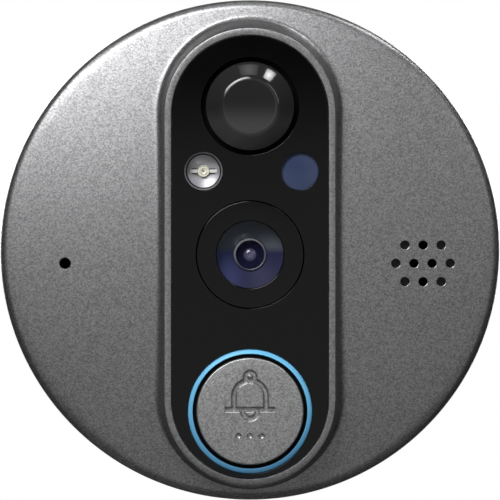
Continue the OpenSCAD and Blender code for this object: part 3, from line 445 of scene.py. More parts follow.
# The camera
add_finish("shroud_black", (0.001, 0.001, 0.001), (0.07, 0.12), bump=0.01)
add_finish("lens_glass", (0.002, 0.002, 0.003), (0.0, 0.02), (0.98, 1.02), bump=0.0, settings=COATED)
add_finish("baffle_blue", (0.03, 0.031, 0.084), (0.3, 0.36), bump=0.03)
add_finish("nose_satin", (0.05, 0.05, 0.075), (0.26, 0.32), bump=0.02)
add_finish("pit_navy", (0.008, 0.009, 0.034), (0.5, 0.6), settings=DULL)
add_finish("coated_purple", (0.105, 0.1, 0.19), (0.04, 0.07), bump=0.0, settings=SHINY)
add_finish("sensor_window", (0.2, 0.15, 0.25), (0.05, 0.1), bump=0.0)
# Behind the front
add_finish("deep_black", (0.002, 0.002, 0.002), (0.6, 0.7), bump=0.2, settings=DULL)
add_finish("black_plastic", (0.018, 0.018, 0.019), (0.42, 0.55), bump=0.35)
add_finish("bare_plastic", (0.055, 0.055, 0.055), (0.5, 0.6), bump=0.35)
add_finish("adhesive_foam", (0.02, 0.02, 0.02), (0.8, 0.9), bump=0.4)
add_finish("black_rubber", (0.022, 0.022, 0.023), (0.75, 0.9), (0.7, 1.25), bump=0.8, relief=FOAM_RELIEF)
add_finish("white_package", (0.75, 0.74, 0.7), (0.4, 0.5), (0.95, 1.03))
add_finish("chip_black", (0.02, 0.02, 0.022), (0.5, 0.6), bump=0.3)
add_finish("speaker_frame", (0.2, 0.2, 0.21), (0.4, 0.5), bump=0.2)
add_finish("cone_film", (0.02, 0.02, 0.02), (0.5, 0.7), bump=0.2)
add_finish("mesh_cloth", (0.008, 0.008, 0.008), (0.85, 0.95), bump=0.6)
add_finish("board_green", (0.015, 0.1, 0.04), (0.3, 0.4))
print(len(finishes), "finishes")

# %% [markdown]
# Most of the unit is round, so most pieces are turned, as on a lathe: a half profile is drawn in radius and
# depth, and bmesh's spin turns it once round an axis that runs out of the door. Real moulded edges are
# never razor sharp, and a rounded edge is what catches the light, so sharp edges get a bevel afterwards.

# %% Turning and softening
TURN_STEPS = 128
SAME_POINT = 1e-7
CORNER = radians(25)


def turn(bm, profile, centre, closed=False, steps=TURN_STEPS):
    """Spins a profile of (radius, depth) points once round a line out of the door."""
    x, z = centre
    chain = [bm.verts.new(at(x + radius, z, depth)) for radius, depth in profile]
    ends = chain[1:] + chain[:1] if closed else chain[1:]
    edges = [bm.edges.new(pair) for pair in zip(chain, ends)]
    bmesh.ops.spin(
        bm, geom=chain + edges, cent=at(x, z, 0), axis=(0, 1, 0), angle=2 * pi, steps=steps, use_merge=True
    )
    bmesh.ops.remove_doubles(bm, verts=bm.verts, dist=SAME_POINT)
    bmesh.ops.recalc_face_normals(bm, faces=bm.faces)


def soften(bm, width, segments=3, wanted=None):
    """Rounds the sharp edges of a mesh, or only those that wanted picks."""
    sharp = [edge for edge in bm.edges if edge.is_manifold and edge.calc_face_angle() > CORNER]
    if wanted:
        sharp = [edge for edge in sharp if wanted(edge)]
    bmesh.ops.bevel(
        bm, geom=sharp, offset=width, affect="EDGES", segments=segments, profile=0.5, material=-1,
        clamp_overlap=True,
    )


def in_front_of(depth):
    """For soften: picks the edges that lie at a depth or in front of it."""
    return lambda edge: all(-vert.co.y > depth - SAME_POINT for vert in edge.verts)


def behind(depth):
    """For soften: picks the edges that lie at a depth or behind it."""
    return lambda edge: all(-vert.co.y < depth + SAME_POINT for vert in edge.verts)


def disc_profile(radius, start, end):
    """The profile of a solid disc between two depths."""
    return [(0, start), (radius, start), (radius, end), (0, end)]


def tube_profile(inner, outer, start, end):
    """The closed profile of a tube between two depths."""
    return [(inner, start), (outer, start), (outer, end), (inner, end)]


print("pieces are turned in", TURN_STEPS, "steps")

# %% [markdown]
# Every new piece is given the body that it moves with and its finish, and the measured piece that it stands
# for is hidden.

# %% Making pieces
SMOOTH_BELOW = radians(40)


def make_piece(name, bm, finish, node, body="housing"):
    """Turns a bmesh into a finished piece that rides on a body and stands for a measured piece."""
    piece = mesh_object(name, bm)
    piece.data.materials.append(finishes[finish])
    piece.data.shade_smooth()
    piece.data.set_sharp_from_angle(angle=SMOOTH_BELOW)
    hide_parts(node)
    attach(piece, body)
    print(name, len(piece.data.polygons), "faces")
    return piece


def turned(
    name, finish, node, profile, centres, closed=False, steps=TURN_STEPS,
    soft=0.0, segments=3, wanted=None, body="housing",
):
    """A piece that is turned round one or more centres and then softened."""
    bm = bmesh.new()
    for centre in centres:
        turn(bm, profile, centre, closed, steps)
    if soft:
        soften(bm, soft, segments, wanted)
    return make_piece(name, bm, finish, node, body)


def finish_behind(piece, finish, depth):
    """Gives the faces of a piece that lie behind a depth another finish."""
    piece.data.materials.append(finishes[finish])
    for face in piece.data.polygons:
        face.material_index = int(-face.center.y < depth)


def even_out(piece):
    """Lets large flat faces decide the shading beside rounded edges, so that they stay flat to the eye."""
    piece.modifiers.new("even_shading", "WEIGHTED_NORMAL").keep_sharp = True


print("helpers for pieces ready")

# %% [markdown]
# Holes and grooves are cut with a Boolean modifier that is applied at once, so that the next cut finds a
# plain mesh. A cutter reaches a little beyond what it cuts, because two faces in one plane confuse a
# Boolean.

# %% Cutting
BEYOND = 1.0 * MM
BORE_STEPS = 48


def cut(piece, bm):
    """Takes a bmesh's shape away from a piece."""
    cutter = mesh_object("cutter", bm)
    knife = piece.modifiers.new("cut", "BOOLEAN")
    knife.operation = "DIFFERENCE"
    knife.solver = "EXACT"
    knife.object = cutter
    uncut = piece.data
    piece.data = bpy.data.meshes.new_from_object(piece.evaluated_get(bpy.context.evaluated_depsgraph_get()))
    piece.modifiers.clear()
    bpy.data.meshes.remove(uncut)
    bpy.data.meshes.remove(cutter.data)
    piece.data.name = piece.name
    piece.data.shade_smooth()
    piece.data.set_sharp_from_angle(angle=SMOOTH_BELOW)
    print(piece.name, "cut to", len(piece.data.polygons), "faces")


def bore(piece, holes, start, end, steps=BORE_STEPS):
    """Cuts round holes, each given as (radius, centre), into a piece between two depths."""
    bm = bmesh.new()
    for radius, centre in holes:
        turn(bm, disc_profile(radius, start, end), centre, steps=steps)
    cut(piece, bm)


print("cutters reach", round(BEYOND / MM, 1), "mm beyond a face")

# %% [markdown]
# The shell is one moulding: a shallow dome that rolls over into a straight side, with a raised rim round
# the panel. A Boolean of a dome and an oblong block would leave a hard crease and long thin faces that
# shade badly. So the shell is swept instead: one closed loop of edges round the panel's outline is extruded
# again and again, outwards over the rim and the dome. Each point sits on a spoke that starts at the panel's
# outline and ends at the round side, so the loops change from the oblong to the circle by themselves.

# %% Measure the shell's outlines
PANEL_GAP = 0.12 * MM
RIM_WIDTH = 0.9 * MM
RIM_RISE = 1.2 * MM
DOME_RISE = 3.0 * MM
EDGE_ROUND = 1.2 * MM
ARC_STEPS = 96
SIDE_STEPS = 64

panel_low, panel_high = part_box("front_panel")
panel_half = half_width("front_panel")
rim_half = panel_half + PANEL_GAP + RIM_WIDTH
arc_top = panel_high.z - panel_half
arc_bottom = panel_low.z + panel_half

dome_radius = (body_radius**2 + DOME_RISE**2) / (2 * DOME_RISE)
dome_middle = rim_depth - RIM_RISE - dome_radius
edge_middle = body_radius - EDGE_ROUND
edge_depth = dome_middle + sqrt((dome_radius - EDGE_ROUND) ** 2 - edge_middle**2)
edge_start = edge_middle * dome_radius / (dome_radius - EDGE_ROUND)


def body_depth(radius, wall=0.0):
    """Depth of the dome's surface, or of the inside of its wall, at a distance from the middle."""
    if radius > edge_start and not wall:
        return edge_depth + sqrt(max(EDGE_ROUND**2 - (radius - edge_middle) ** 2, 0))
    return dome_middle + sqrt((dome_radius - wall) ** 2 - radius**2)


def outline_spokes():
    """Round the panel's outline: points on its spine, each with the way out from it."""
    top, bottom = at(0, arc_top, 0), at(0, arc_bottom, 0)
    stations = [(bottom.lerp(top, k / SIDE_STEPS), 0.0) for k in range(SIDE_STEPS)]
    stations += [(top, pi * k / ARC_STEPS) for k in range(ARC_STEPS)]
    stations += [(top.lerp(bottom, k / SIDE_STEPS), pi) for k in range(SIDE_STEPS)]
    stations += [(bottom, pi + pi * k / ARC_STEPS) for k in range(ARC_STEPS)]
    return [(spine, at(cos(angle), sin(angle), 0)) for spine, angle in stations]


spokes = outline_spokes()
print(len(spokes), "spokes, dome radius", round(dome_radius / MM, 1), "mm")

# %% [markdown]
# Each spoke is walked from the panel's pocket outwards: up the pocket wall, across the flat rim, down a
# sloping wall and round a soft hollow at its foot. Light and shade in the photograph show how the rim
# changes round the panel: its wall slopes more at the top than at the bottom, its flat slants a little at
# the lower end, and the hollow narrows towards both ends.

# %% Walk over the rim
RIM_DRAFT = 0.2
RIM_LEAN = 0.5
RIM_SLANT = 0.2
HOLLOW = 0.9 * MM
HOLLOW_ABOVE = 0.65
HOLLOW_BELOW = 0.1
HOLLOW_CLIMB = 0.6
HOLLOW_STEPS = 7
EDGE_SPARE = EDGE_ROUND / 4
FOOT_ROUNDS = 6

shelf_depth = back("panel_adhesive")


def outward(spoke, grow, depth):
    """A point on a spoke, at a distance beyond the rim's outline."""
    spine, way = spoke
    return spine + way * (rim_half + grow) + at(0, 0, depth)


def foot_of(spoke, draft):
    """Where the rim's sloping wall meets the dome, as (grow, depth)."""
    grow = 0.0
    for _ in range(FOOT_ROUNDS):
        place = outward(spoke, grow, 0)
        depth = body_depth(hypot(place.x, place.z))
        grow = draft * (rim_depth - depth)
    return grow, depth


def rim_points(spoke):
    """The points up the pocket's wall and across the flat of the rim."""
    fall = RIM_WIDTH * RIM_SLANT * max(-spoke[1].z, 0)
    places = ((-RIM_WIDTH, shelf_depth), (-RIM_WIDTH, rim_depth), (0, rim_depth - fall))
    return [outward(spoke, grow, depth) for grow, depth in places]


def hollow_points(spoke):
    """The points round the hollow at the rim's foot, then the way out from there and the dome's start."""
    upward = spoke[1].z
    draft = RIM_DRAFT * (1 + RIM_LEAN * upward)
    end_share = HOLLOW_ABOVE if upward > 0 else HOLLOW_BELOW
    hollow = HOLLOW * (1 - (1 - end_share) * sin(abs(upward) * pi / 2))
    grow, depth = foot_of(spoke, draft)
    foot = outward(spoke, grow, depth)
    climb = min(hollow, (rim_depth - depth) * HOLLOW_CLIMB)
    above = outward(spoke, grow - draft * climb, depth + climb)
    radial = outward(spoke, grow + hollow, 0)
    start = min(radial.length, body_radius - EDGE_SPARE)
    radial.normalize()
    beyond = radial * start + at(0, 0, body_depth(start))
    shares = [k / HOLLOW_STEPS for k in range(HOLLOW_STEPS)]
    points = [above.lerp(foot, share).lerp(foot.lerp(beyond, share), share) for share in shares]
    return points, radial, start


print("panel's shelf at", round(shelf_depth / MM, 2), "mm")

# %% [markdown]
# From the hollow, a spoke goes over the dome to the rounded edge, with more points where it bends more. The
# way back runs along the inside of the walls, so the shell is closed and has a real thickness.

# %% Walk over the dome and back inside
FACE_WALL = 1.8 * MM
SIDE_WALL = 2.3 * MM
SKIRT_WALL = 1.2 * MM
WELL_WALL = 1.5 * MM
DOME_STEPS = 16
ROLL_STEPS = 9
ROLL_SHARE = 0.92

skirt_end = back("front_housing")
step_depth = front("rear_seal")


def over_edge(start, share):
    """A (radius, depth) on the way from a radius on the dome to the straight side."""
    flat = max(edge_start - start, 0)
    first = asin((max(start, edge_start) - edge_middle) / EDGE_ROUND)
    walked = share * (flat + EDGE_ROUND * (pi / 2 - first))
    if walked < flat:
        return start + walked, body_depth(start + walked)
    angle = first + (walked - flat) / EDGE_ROUND
    return edge_middle + EDGE_ROUND * sin(angle), edge_depth + EDGE_ROUND * cos(angle)


def spoke_points(spoke):
    """All points of one spoke, from the pocket's floor outwards and back along the inside."""
    hollow, radial, start = hollow_points(spoke)
    shares = [ROLL_SHARE * k / DOME_STEPS for k in range(DOME_STEPS)]
    shares += [ROLL_SHARE + (1 - ROLL_SHARE) * k / ROLL_STEPS for k in range(ROLL_STEPS + 1)]
    inner = body_radius - SIDE_WALL
    skirt = body_radius - SKIRT_WALL
    rings = [over_edge(start, share) for share in shares] + [
        (body_radius, skirt_end), (skirt, skirt_end), (skirt, step_depth), (inner, step_depth),
        (inner, body_depth(inner, FACE_WALL)),
    ]
    well = outward(spoke, -WELL_WALL, 0)
    well_depths = (body_depth(well.length, FACE_WALL), shelf_depth)
    points = rim_points(spoke) + hollow
    points += [radial * radius + at(0, 0, depth) for radius, depth in rings]
    return points + [well + at(0, 0, depth) for depth in well_depths]


columns = [spoke_points(spoke) for spoke in spokes]
print(len(columns[0]), "points on each spoke")

# %% [markdown]
# Now the loops are laid. A circle of edges goes through the first points of all spokes. Extruding it and
# moving the new edges to the next points gives one ring of faces at a time. At last the two edges of the
# rim are rounded: the outer one is softer than the one against the panel.

# %% Sweep the shell
RIM_SOFT = 0.14 * MM
RIM_INNER_SOFT = 0.05 * MM


def sweep(bm, columns, closed=True):
    """Lays a circle through the columns' first points and extrudes it row by row, or back to the start."""
    rows = list(zip(*columns))
    ring = bmesh.ops.create_circle(bm, segments=len(columns), radius=1)["verts"]
    edges = bm.edges[:]
    for vert, place in zip(ring, rows[0]):
        vert.co = place
    for row in rows[1:] + (rows[:1] if closed else []):
        grown = bmesh.ops.extrude_edge_only(bm, edges=edges)["geom"]
        fresh = {item for item in grown if isinstance(item, bmesh.types.BMVert)}
        edges = [item for item in grown if isinstance(item, bmesh.types.BMEdge)]
        steps = [[edge.other_vert(vert) for edge in vert.link_edges] for vert in ring]
        ring = [next(vert for vert in near if vert in fresh) for near in steps]
        for vert, place in zip(ring, row):
            vert.co = place
    bmesh.ops.remove_doubles(bm, verts=bm.verts, dist=SAME_POINT)
    bmesh.ops.holes_fill(bm, edges=bm.edges)
    bmesh.ops.recalc_face_normals(bm, faces=bm.faces)


def out_from_rim(place):
    """How far a point lies outside the rim's outline, seen from the front."""
    level = min(max(place.z, arc_bottom), arc_top)
    return hypot(place.x, place.z - level) - rim_half


def on_outer_edge(edge):
    """True for the rim's outer edge and for the skirt's rear edges."""
    outs = [out_from_rim(vert.co) for vert in edge.verts]
    on_outline = all(-RIM_WIDTH / 2 < out < SAME_POINT for out in outs)
    on_rim = on_outline and in_front_of(rim_depth - RIM_WIDTH * RIM_SLANT)(edge)
    return on_rim or behind(skirt_end)(edge)


def on_inner_edge(edge):
    """True for the rim's inner edge, against the panel."""
    inside = all(out_from_rim(vert.co) < -RIM_WIDTH / 2 for vert in edge.verts)
    return inside and in_front_of(rim_depth)(edge)


shell = bmesh.new()
sweep(shell, columns)
soften(shell, RIM_SOFT, wanted=on_outer_edge)
soften(shell, RIM_INNER_SOFT, wanted=on_inner_edge)
housing = make_piece("housing_shell", shell, "shell_paint", "front_housing")

# %% [markdown]
# Ten sound holes sit in front of the speaker, in rows of three, four and three, and one hole in front of
# the microphone. The four in the middle go right through, so they look black. The other six are blind. A
# small flare at each mouth follows the dome and gives the lower edge a glint.

# %% Drill the sound holes
HOLE_RADIUS = 0.58 * MM
MIC_HOLE_RADIUS = 0.73 * MM
HOLE_PITCH = 2.36 * MM
ROW_PITCH = 2.38 * MM
ROWS = ((1, 3), (0, 4), (-1, 3))
OPEN_REACH = 2.9 * MM
BLIND_DEPTH = 1.3 * MM
FLARE_WIDE = 0.07 * MM
FLARE_DEEP = 0.041 * MM
DOT_STEPS = 32


def drill(bm, radius, centre, floor):
    """Adds a hole's cutter with a flared mouth at the dome's surface. Gives where the hole is."""
    face = body_depth(hypot(*centre))
    outside = rim_depth + EDGE_ROUND
    mouth = radius + 2 * FLARE_WIDE
    profile = [
        (0, floor), (radius, floor), (radius, face - FLARE_DEEP), (mouth, face + FLARE_DEEP),
        (mouth, outside), (0, outside),
    ]
    known = set(bm.verts)
    turn(bm, profile, centre, steps=DOT_STEPS)
    for vert in set(bm.verts) - known:
        if abs(-vert.co.y - face) < FLARE_DEEP + SAME_POINT:
            vert.co.y -= body_depth(hypot(vert.co.x, vert.co.z)) - face
    return radius, centre, face


speaker_x, speaker_z = middle("speaker_frame")
speaker_floor = front("speaker_mesh")
microphone_floor = front("microphone_boot") - BLIND_DEPTH
drills = bmesh.new()
drilled = []
for row, count in ROWS:
    for k in range(count):
        across, up = (k - (count - 1) / 2) * HOLE_PITCH, row * ROW_PITCH
        spot = (speaker_x + across, speaker_z + up)
        is_open = hypot(across, up) < OPEN_REACH
        floor = speaker_floor if is_open else body_depth(hypot(*spot)) - BLIND_DEPTH
        drilled.append(drill(drills, HOLE_RADIUS, spot, floor))
drilled.append(drill(drills, MIC_HOLE_RADIUS, middle("microphone_boot"), microphone_floor))
cut(housing, drills)
print(len(drilled), "holes drilled")

# %% [markdown]
# Below the mouth of each hole the faces get bare dark plastic. This is partly real, since sprayed paint
# doesn't reach far into a narrow hole, and partly painted shade for the dark inside of the holes. The edges
# of the flares are marked sharp, or their shading would bleed over the dome as a grey smear.

# %% Darken the holes' insides: bare plastic and painted shade
PAINT_AND_SHADE_REACH = 0.2 * MM
FLARE_CREASE = radians(18)


def hole_around(place, margin):
    """The depth of the mouth of the hole that a place lies in, or None."""
    for radius, (x, z), mouth in drilled:
        if hypot(place.x - x, place.z - z) < radius + margin:
            return mouth
    return None


# Partly painted shade: the insides of the holes take the bare dark plastic
housing.data.materials.append(finishes["bare_plastic"])
mouths = bmesh.new()
mouths.from_mesh(housing.data)
for face in mouths.faces:
    place = face.calc_center_median()
    mouth = hole_around(place, SAME_POINT)
    if mouth is not None and -place.y < mouth - PAINT_AND_SHADE_REACH:
        face.material_index = 1
for edge in mouths.edges:
    if edge.is_manifold and edge.calc_face_angle() > FLARE_CREASE:
        if hole_around((edge.verts[0].co + edge.verts[1].co) / 2, 2 * FLARE_WIDE) is not None:
            edge.smooth = False
print(sum(face.material_index for face in mouths.faces), "darkened faces")
mouths.to_mesh(housing.data)
mouths.free()

# %% [markdown]
# The panel is a flat black plate with round ends. A circle stretched at its equator gives the outline,
# because the two halves of the circle are its ends. It gets its holes from a Boolean, which is safe here
# because a flat face can't shade badly. The shelf of the shell behind it is made and cut in the same way.

# %% Plates and rounded corners
PLATE_STEPS = 192
PLATE_HOLE_STEPS = 96


def plate(name, finish, node, grow, deep, near, holes):
    """A round-ended plate between two depths, grown from the rim's outline, with round holes."""
    bm = bmesh.new()
    radius = rim_half + grow
    outline = bmesh.ops.create_circle(bm, cap_ends=True, segments=PLATE_STEPS, radius=radius)["verts"]
    bmesh.ops.rotate(bm, verts=outline, cent=(0, 0, 0), matrix=facing(OUT_OF_DOOR))
    for vert in outline:
        vert.co += at(0, arc_top if vert.co.z > 0 else arc_bottom, deep)
    raised = bmesh.ops.extrude_face_region(bm, geom=bm.faces[:])["geom"]
    lifted = [item for item in raised if isinstance(item, bmesh.types.BMVert)]
    bmesh.ops.translate(bm, verts=lifted, vec=at(0, 0, near - deep))
    bmesh.ops.recalc_face_normals(bm, faces=bm.faces)
    piece = make_piece(name, bm, finish, node)
    bore(piece, holes, deep - BEYOND, near + BEYOND, PLATE_HOLE_STEPS)
    return piece


def round_edges(piece, width, segments=3):
    """Rounds a piece's corners with a Bevel modifier."""
    bevel = piece.modifiers.new("soft_edges", "BEVEL")
    bevel.width = width
    bevel.segments = segments
    bevel.limit_method = "ANGLE"
    bevel.angle_limit = SMOOTH_BELOW
    bevel.harden_normals = True


print("plates have", PLATE_STEPS, "outline points")

# %% Make the panel
PANEL_SOFT = 0.04 * MM
PIECE_GAP = 0.1 * MM
PIR_FLANGE = 1.2 * MM
PIR_GAP = 0.65 * MM
LAMP_FLANGE = 0.4 * MM
LAMP_FIT = 0.06 * MM
FILTER_LIP = 0.3 * MM
SHROUD_FLANGE = 1.3 * MM
RING_FLANGE = 0.9 * MM
RING_FIT = 0.06 * MM

sensor_spot = middle("pir_lens")
lamp_spot = middle("infrared_lamp")
window_spot = middle("light_filter")
eye = middle("camera_shroud")
push = middle("call_button")
pir_radius = half_width("pir_lens") - PIR_FLANGE
lamp_radius = half_width("infrared_lamp") - LAMP_FLANGE
shroud_radius = half_width("camera_shroud") - SHROUD_FLANGE
ring_radius = half_width("light_ring") - RING_FLANGE
panel_front = front("front_panel")
panel_holes = [
    (pir_radius + PIR_GAP, sensor_spot),
    (lamp_radius + LAMP_FIT, lamp_spot),
    (half_width("light_filter") - FILTER_LIP, window_spot),
    (shroud_radius + PIECE_GAP, eye),
    (ring_radius + RING_FIT, push),
]
panel = plate(
    "black_panel", "panel_black", "front_panel", -RIM_WIDTH - PANEL_GAP, back("front_panel"), panel_front,
    panel_holes,
)
round_edges(panel, PANEL_SOFT)

# %% Make the shelf
SHELF_THICK = 1.7 * MM
SHELF_FIT = 0.2 * MM
FITTINGS = (
    ("pir_lens", sensor_spot), ("infrared_lamp", lamp_spot), ("light_pipe", window_spot),
    ("camera_shroud", eye), ("light_ring", push),
)

shelf_holes = [(half_width(node) + SHELF_FIT, spot) for node, spot in FITTINGS]
plate(
    "panel_shelf", "shell_paint", "front_housing", -WELL_WALL, shelf_depth - SHELF_THICK, shelf_depth,
    shelf_holes,
)

# %% [markdown]
# The motion sensor looks through a smoked plastic cap: a flat top on a sloping flank. The real one is moulded
# with fine lenses on the inside, so the outside is smooth. Its flank bulges a little, and its top edge is
# well rounded, which gives the two bright arcs in the photograph. Its tone is darker above and paler below:
# painted light, for light that passes through the smoked cap into its lower half. Its straight side and its
# flange, below the flank, get the deepest black: painted shade for the gap round the cap.

# %% Make the sensor lens
PIR_TOP_RADIUS = 3.7 * MM
PIR_FLANK = 1.9 * MM
PIR_WALL = 0.6 * MM
PIR_BULGE = 0.045 * MM
PIR_SOFT = 0.42 * MM
PIR_SEGMENTS = 6
FLANK_STEPS = 6
SMOKE_SHADED_ABOVE = (0.019, 0.019, 0.019)
SMOKE_FADE = 2.9 * MM

pir_top, pir_back = front("pir_lens"), back("pir_lens")
pir_flange = half_width("pir_lens")
inner_top = pir_top - PIR_WALL
lens_profile = [(0, pir_top)]
for k in range(FLANK_STEPS + 1):
    share = k / FLANK_STEPS
    bulge = PIR_BULGE * sin(pi * share)
    radius = PIR_TOP_RADIUS + (pir_radius - PIR_TOP_RADIUS) * share + bulge
    lens_profile.append((radius, pir_top - PIR_FLANK * share + bulge))
lens_profile += [
    (pir_radius, shelf_depth), (pir_flange, shelf_depth), (pir_flange, pir_back),
    (pir_radius - PIR_WALL, pir_back), (PIR_TOP_RADIUS - PIR_WALL / 2, inner_top), (0, inner_top),
]
sensor_lens = turned(
    "sensor_lens", "pir_smoke", "pir_lens", lens_profile, [sensor_spot],
    soft=PIR_SOFT, segments=PIR_SEGMENTS, wanted=in_front_of(pir_top),
)
even_out(sensor_lens)
# Painted light: the cap darkens upwards and stays paler below
painted_light_fade("pir_smoke", SMOKE_SHADED_ABOVE, sensor_spot[1] - SMOKE_FADE, SMOKE_FADE)
# Painted shade: the side and the flange in the gap get the deepest black
finish_behind(sensor_lens, "deep_black", pir_top - PIR_FLANK - PIR_SOFT / 2)

# %% [markdown]
# The infrared lamp is a clear resin body cast round two bright posts. Cast resin is solid, but a solid dome
# would bend every ray into the dark behind it. A thin dome over a pale bowl shows what the eye sees, and the
# bowl turns paler towards its top: painted light on its upper part. A grey ring between the dome and the
# panel is painted light as well: it stands for the light caught at the pale edge of the clear resin.

# %% Make the lamp's ring, dome and bowl
RESIN_WALL = 0.1 * MM
RESIN_GAP = 0.02 * MM
EDGE_RING_WIDTH = 0.2 * MM
EDGE_RING_DEPTH = 0.7 * MM
DOME_HEIGHT = 0.4
DOME_POINTS = 14
FLANGE_DROP = 0.4 * MM
BOWL_DROP = 2.2 * MM
BOWL_FLAT = 0.45
BOWL_RISE = 0.5 * MM
BOWL_THICK = 1.0 * MM
GROUND_LIT_ABOVE = (0.95, 0.95, 1.0)


def dome_profile(radius, tip, height, points=DOME_POINTS):
    """An elliptic dome from its tip to its shoulder, as (radius, depth) points."""
    angles = [pi / 2 * k / points for k in range(points + 1)]
    return [(radius * sin(angle), tip - height * (1 - cos(angle))) for angle in angles]


lamp_tip, lamp_back = front("infrared_lamp"), back("infrared_lamp")
lamp_flange = half_width("infrared_lamp")
flange_depth = shelf_depth - FLANGE_DROP
edge_ring_radius = lamp_radius + LAMP_FIT / 2
resin_radius = edge_ring_radius - EDGE_RING_WIDTH
edge_ring_inner = resin_radius + RESIN_GAP
edge_ring_back = panel_front - EDGE_RING_DEPTH
edge_ring_profile = [
    (edge_ring_radius, panel_front), (edge_ring_inner, panel_front - EDGE_RING_WIDTH), (edge_ring_inner, edge_ring_back),
    (edge_ring_radius, edge_ring_back),
]
# Painted light: a grey ring for the light at the edge of the clear resin
turned("lamp_edge_ring", "edge_light_grey", "infrared_lamp", edge_ring_profile, [lamp_spot], closed=True)

inner_radius = resin_radius - RESIN_WALL
outer_dome = dome_profile(resin_radius, lamp_tip, resin_radius * DOME_HEIGHT)
inner_dome = dome_profile(inner_radius, lamp_tip - RESIN_WALL, inner_radius * DOME_HEIGHT)
foot = [
    (resin_radius, flange_depth), (lamp_flange, flange_depth), (lamp_flange, lamp_back),
    (inner_radius, lamp_back),
]
turned("lamp_dome", "lamp_resin", "infrared_lamp", outer_dome + foot + inner_dome[::-1], [lamp_spot])

bowl_depth = lamp_tip - BOWL_DROP
bowl_back = bowl_depth - BOWL_THICK
bowl_radius = inner_radius - PIECE_GAP / 2
bowl_profile = [
    (0, bowl_depth), (inner_radius * BOWL_FLAT, bowl_depth), (bowl_radius, bowl_depth + BOWL_RISE),
    (bowl_radius, bowl_back), (0, bowl_back),
]
turned("lamp_bowl", "lamp_ground", "infrared_lamp", bowl_profile, [lamp_spot])
# Painted light: the bowl turns paler towards its top
painted_light_fade("lamp_ground", GROUND_LIT_ABOVE, lamp_spot[1], inner_radius)

# %% [markdown]
# Inside the lamp, each post ends in a short bright bar, and a tiny round cup between the bars holds the chip.
# Thin dark pads behind the bars are painted shade: they draw the dark outline of the shade round each bar.

# %% Make the lamp's posts, shade pads and cup
BAR_LENGTH = 0.95 * MM
BAR_HEIGHT = 0.46 * MM
BAR_THICK = 0.4 * MM
BAR_OFFSET = 1.0 * MM
SHADE_PAD_EDGE = 0.12 * MM
SHADE_PAD_THICK = 0.1 * MM
POST_SOFT = 0.06 * MM
FRAME_DROP = 1.75 * MM
CUP_RADIUS = 0.78 * MM
CUP_HEIGHT = 0.5 * MM
CUP_SOFT = 0.04 * MM
CUP_STEPS = 64
# In shares of the cup's radius and height: a pit for the chip, a ring, a groove, a second ring and the side
CUP_SHARES = (
    (0, 1), (0.2, 1), (0.5, 0), (0.62, 0), (0.72, 1 / 2), (0.88, 0), (1, 1 / 3), (1, 2), (0, 2)
)


def bar(bm, centre, depth, size):
    """Adds a block, with its size across, up and deep, whose front face lies at a depth."""
    across, up, deep = size
    block = bmesh.ops.create_cube(bm, size=1)["verts"]
    bmesh.ops.scale(bm, vec=(across, deep, up), verts=block)
    bmesh.ops.translate(bm, vec=at(*centre, depth - deep / 2), verts=block)


bar_depth = lamp_tip - FRAME_DROP
leg_depth = bar_depth - BAR_THICK
leg_length = leg_depth - back("lamp_leadframe")
posts, shade_pads = bmesh.new(), bmesh.new()
for side in (-1, 1):
    place = (lamp_spot[0] + side * (CUP_RADIUS + BAR_OFFSET / 2), lamp_spot[1])
    bar(posts, place, bar_depth, (BAR_LENGTH, BAR_HEIGHT, BAR_THICK))
    bar(posts, place, leg_depth, (BAR_HEIGHT, BAR_HEIGHT, leg_length))
    shade_pad_size = (BAR_LENGTH + 2 * SHADE_PAD_EDGE, BAR_HEIGHT + 2 * SHADE_PAD_EDGE, SHADE_PAD_THICK)
    # Painted shade: a dark pad behind each bar
    bar(shade_pads, place, bar_depth - BAR_THICK / 2, shade_pad_size)
soften(posts, POST_SOFT)
make_piece("lamp_posts", posts, "post_bright", "lamp_leadframe")
make_piece("lamp_shade_pads", shade_pads, "black_plastic", "lamp_leadframe")

cup_profile = [(CUP_RADIUS * out, bar_depth - CUP_HEIGHT * down) for out, down in CUP_SHARES]
turned("lamp_cup", "cup_cream", "lamp_leadframe", cup_profile, [lamp_spot], steps=CUP_STEPS, soft=CUP_SOFT)

# %% [markdown]
# On the other side of the panel sits a small blue window. It lets the light sensor behind it judge day and
# night. It is a plain disc with soft edges, pressed against the panel from behind.

# %% Make the blue window
WINDOW_SOFT = 0.08 * MM

window_profile = disc_profile(half_width("light_filter"), front("light_filter"), back("light_filter"))
blue_window = turned(
    "blue_window", "filter_blue", "light_filter", window_profile, [window_spot], soft=WINDOW_SOFT
)
even_out(blue_window)

# %% [markdown]
# The camera is a stack: a black ring flush with the panel, a domed cover glass, a blue funnel that keeps
# stray light out, and the nose of the lens with a small coated lens at the bottom of its pit. All of it is
# turned. The ring and the glass come first, because the rest lies behind them.

# %% Make the camera ring and its glass
GLASS_DOME = 7.0 * MM
GLASS_THICK = 0.6 * MM
GLASS_FIT = 0.06 * MM
RING_CHAMFER = 0.1 * MM
SEAT_THICK = 0.45 * MM

glass_radius = half_width("front_glass")
glass_top, glass_seat = front("front_glass"), back("front_glass")
shroud_front, shroud_back = front("camera_shroud"), back("camera_shroud")
shroud_flange = half_width("camera_shroud")
funnel_radius = half_width("lens_baffle")
seat_back = glass_seat - SEAT_THICK
ring_profile = [
    (glass_radius + GLASS_FIT, shroud_front), (shroud_radius, shroud_front), (shroud_radius, flange_depth),
    (shroud_flange, flange_depth), (shroud_flange, shroud_back), (funnel_radius + GLASS_FIT, shroud_back),
    (funnel_radius + GLASS_FIT, seat_back), (glass_radius + GLASS_FIT, seat_back),
]
camera_ring = turned(
    "camera_ring", "shroud_black", "camera_shroud", ring_profile, [eye], closed=True, soft=RING_CHAMFER
)
even_out(camera_ring)


